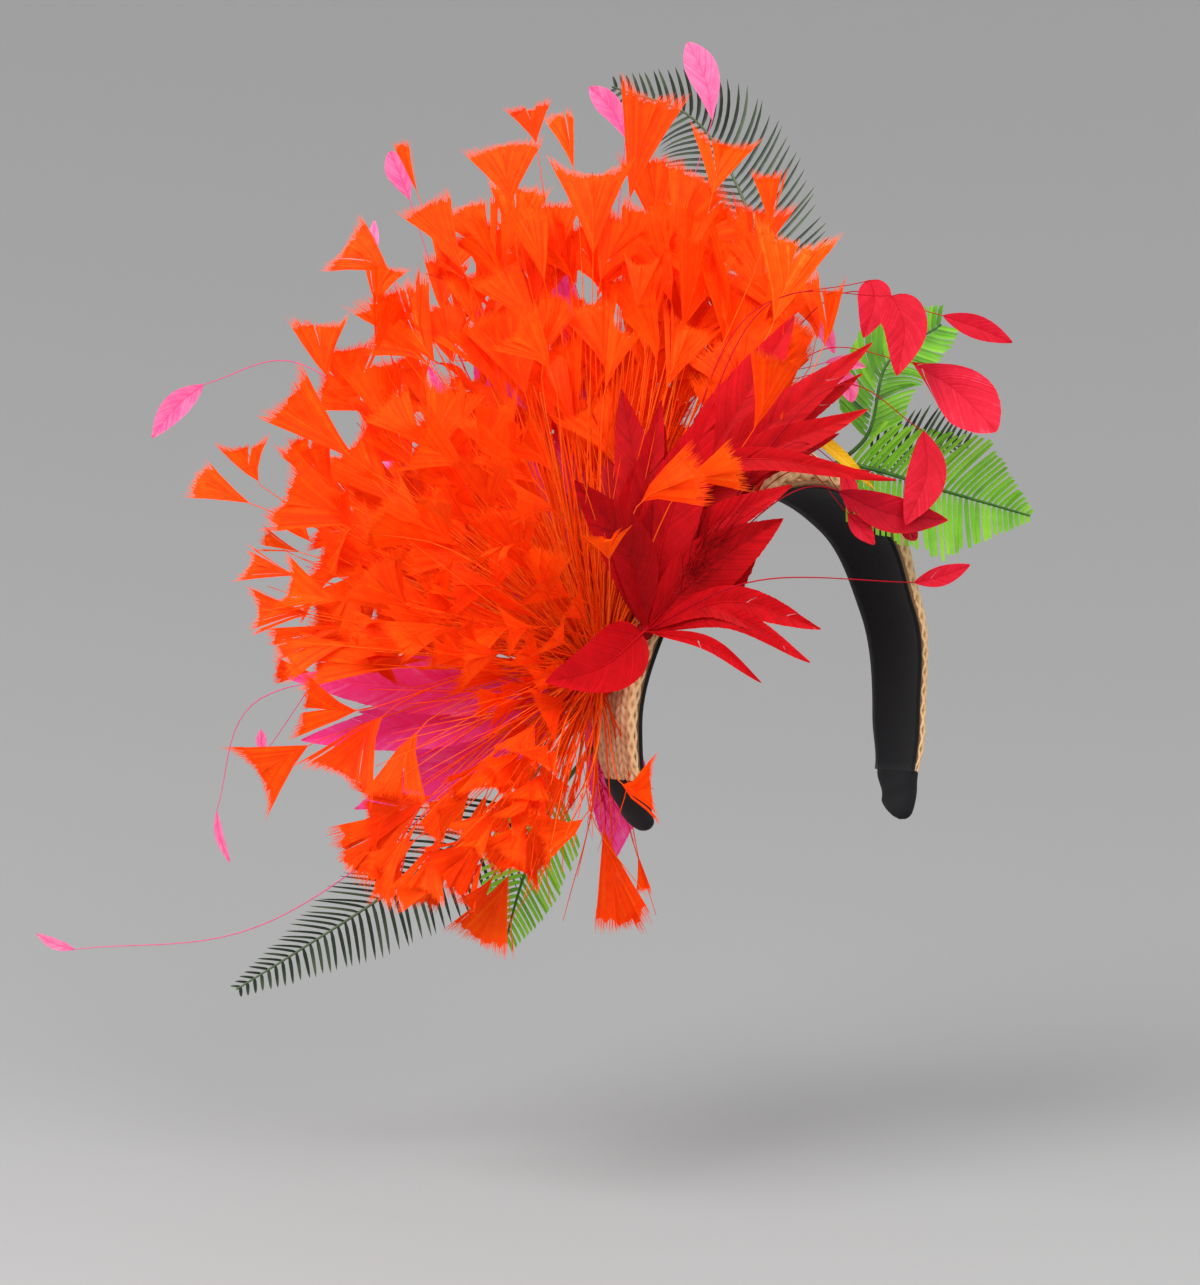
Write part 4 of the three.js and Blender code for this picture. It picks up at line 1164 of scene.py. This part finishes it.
def floor():
    """A pale round floor that curves up into a plain backdrop on every side."""
    lowest = cad_box[0][2] / MM - FLOOR_DROP
    profile = [(1.0, lowest), (FLOOR_FLAT, lowest)]
    for rise in np.linspace(0, math.radians(FLOOR_SWEEP_DEG), FLOOR_STEPS)[1:]:
        radius = FLOOR_FLAT + FLOOR_CURVE * math.sin(rise)
        profile.append((radius, lowest + FLOOR_CURVE * (1 - math.cos(rise))))
    angle = np.arange(FLOOR_SIDES) / FLOOR_SIDES * 2 * math.pi
    radii, heights = np.array(profile).T[:, :, None]
    rings = np.broadcast_arrays(radii * np.cos(angle), radii * np.sin(angle), heights)
    batch = Batch()
    batch.grid(np.stack(rings, axis=-1), 0, loop=True)
    batch.faces.append(list(range(FLOOR_SIDES))[::-1])
    paper = bpy.data.materials.new("pale_floor")
    paper.use_nodes = True
    surface = paper.node_tree.nodes["Principled BSDF"]
    surface.inputs["Base Color"].default_value = (FLOOR_ALBEDO, FLOOR_ALBEDO, FLOOR_ALBEDO, 1)
    surface.inputs["Roughness"].default_value = FLOOR_ROUGHNESS
    batch.place("floor", paper)


def aim(thing, place, target):
    """Put a camera or a lamp at a place, turned to a target."""
    thing.location = Vector(place * MM)
    thing.rotation_euler = (Vector(target * MM) - thing.location).to_track_quat("-Z", "Y").to_euler()


def camera():
    target = view_vector(SIGHT_RIGHT, SIGHT_UP, 0)
    lens = bpy.data.cameras.new("camera")
    lens.sensor_width = SENSOR
    lens.lens = SENSOR * VIEW_DISTANCE / FRAME_HEIGHT
    holder = bpy.data.objects.new("camera", lens)
    bpy.context.scene.collection.objects.link(holder)
    aim(holder, target + VIEW_NEAR * VIEW_DISTANCE, target)
    bpy.context.scene.camera = holder


def softbox(lamp):
    """A square lamp that lights the object and isn't seen itself."""
    target = view_vector(SIGHT_RIGHT, 0, 0)
    light = bpy.data.lights.new(lamp["name"], "AREA")
    light.shape = "SQUARE"
    light.size = lamp["side"] * MM
    light.energy = lamp["watts"]
    holder = bpy.data.objects.new(lamp["name"], light)
    bpy.context.scene.collection.objects.link(holder)
    holder.visible_camera = False
    aim(holder, target + view_vector(lamp["right"], lamp["up"], lamp["near"]), target)


def studio():
    """White light from all round, the lamps, and plain colours."""
    world = bpy.data.worlds.new("studio")
    world.use_nodes = True
    world.node_tree.nodes["Background"].inputs["Color"].default_value = (1, 1, 1, 1)
    world.node_tree.nodes["Background"].inputs["Strength"].default_value = 1.0
    bpy.context.scene.world = world
    for lamp in LAMPS:
        softbox(lamp)
    bpy.context.scene.view_settings.view_transform = "Standard"


camera()
straw_braid()
velvet_lining()
velvet_sleeve("end_sleeve_left", 1)
velvet_sleeve("end_sleeve_right", -1)
orange_spray()
plume("red", RED_LEAVES, RED_PADDLES, "red_feather", "rose_feather", 0.5, "red_plume", "red_feather")
plume(
    "pink", PINK_LEAVES, PINK_PADDLES, "pink_feather", "pale_pink_feather", 0.7,
    "pink_plume", "pink_feather",
)
fronds(PALMS, "green_palm", blunt=True, rib_shade=0.12)
fronds(FERNS, "dark_fern", blunt=False, rib_shade=0.85)
yellow_biot()
floor()
studio()
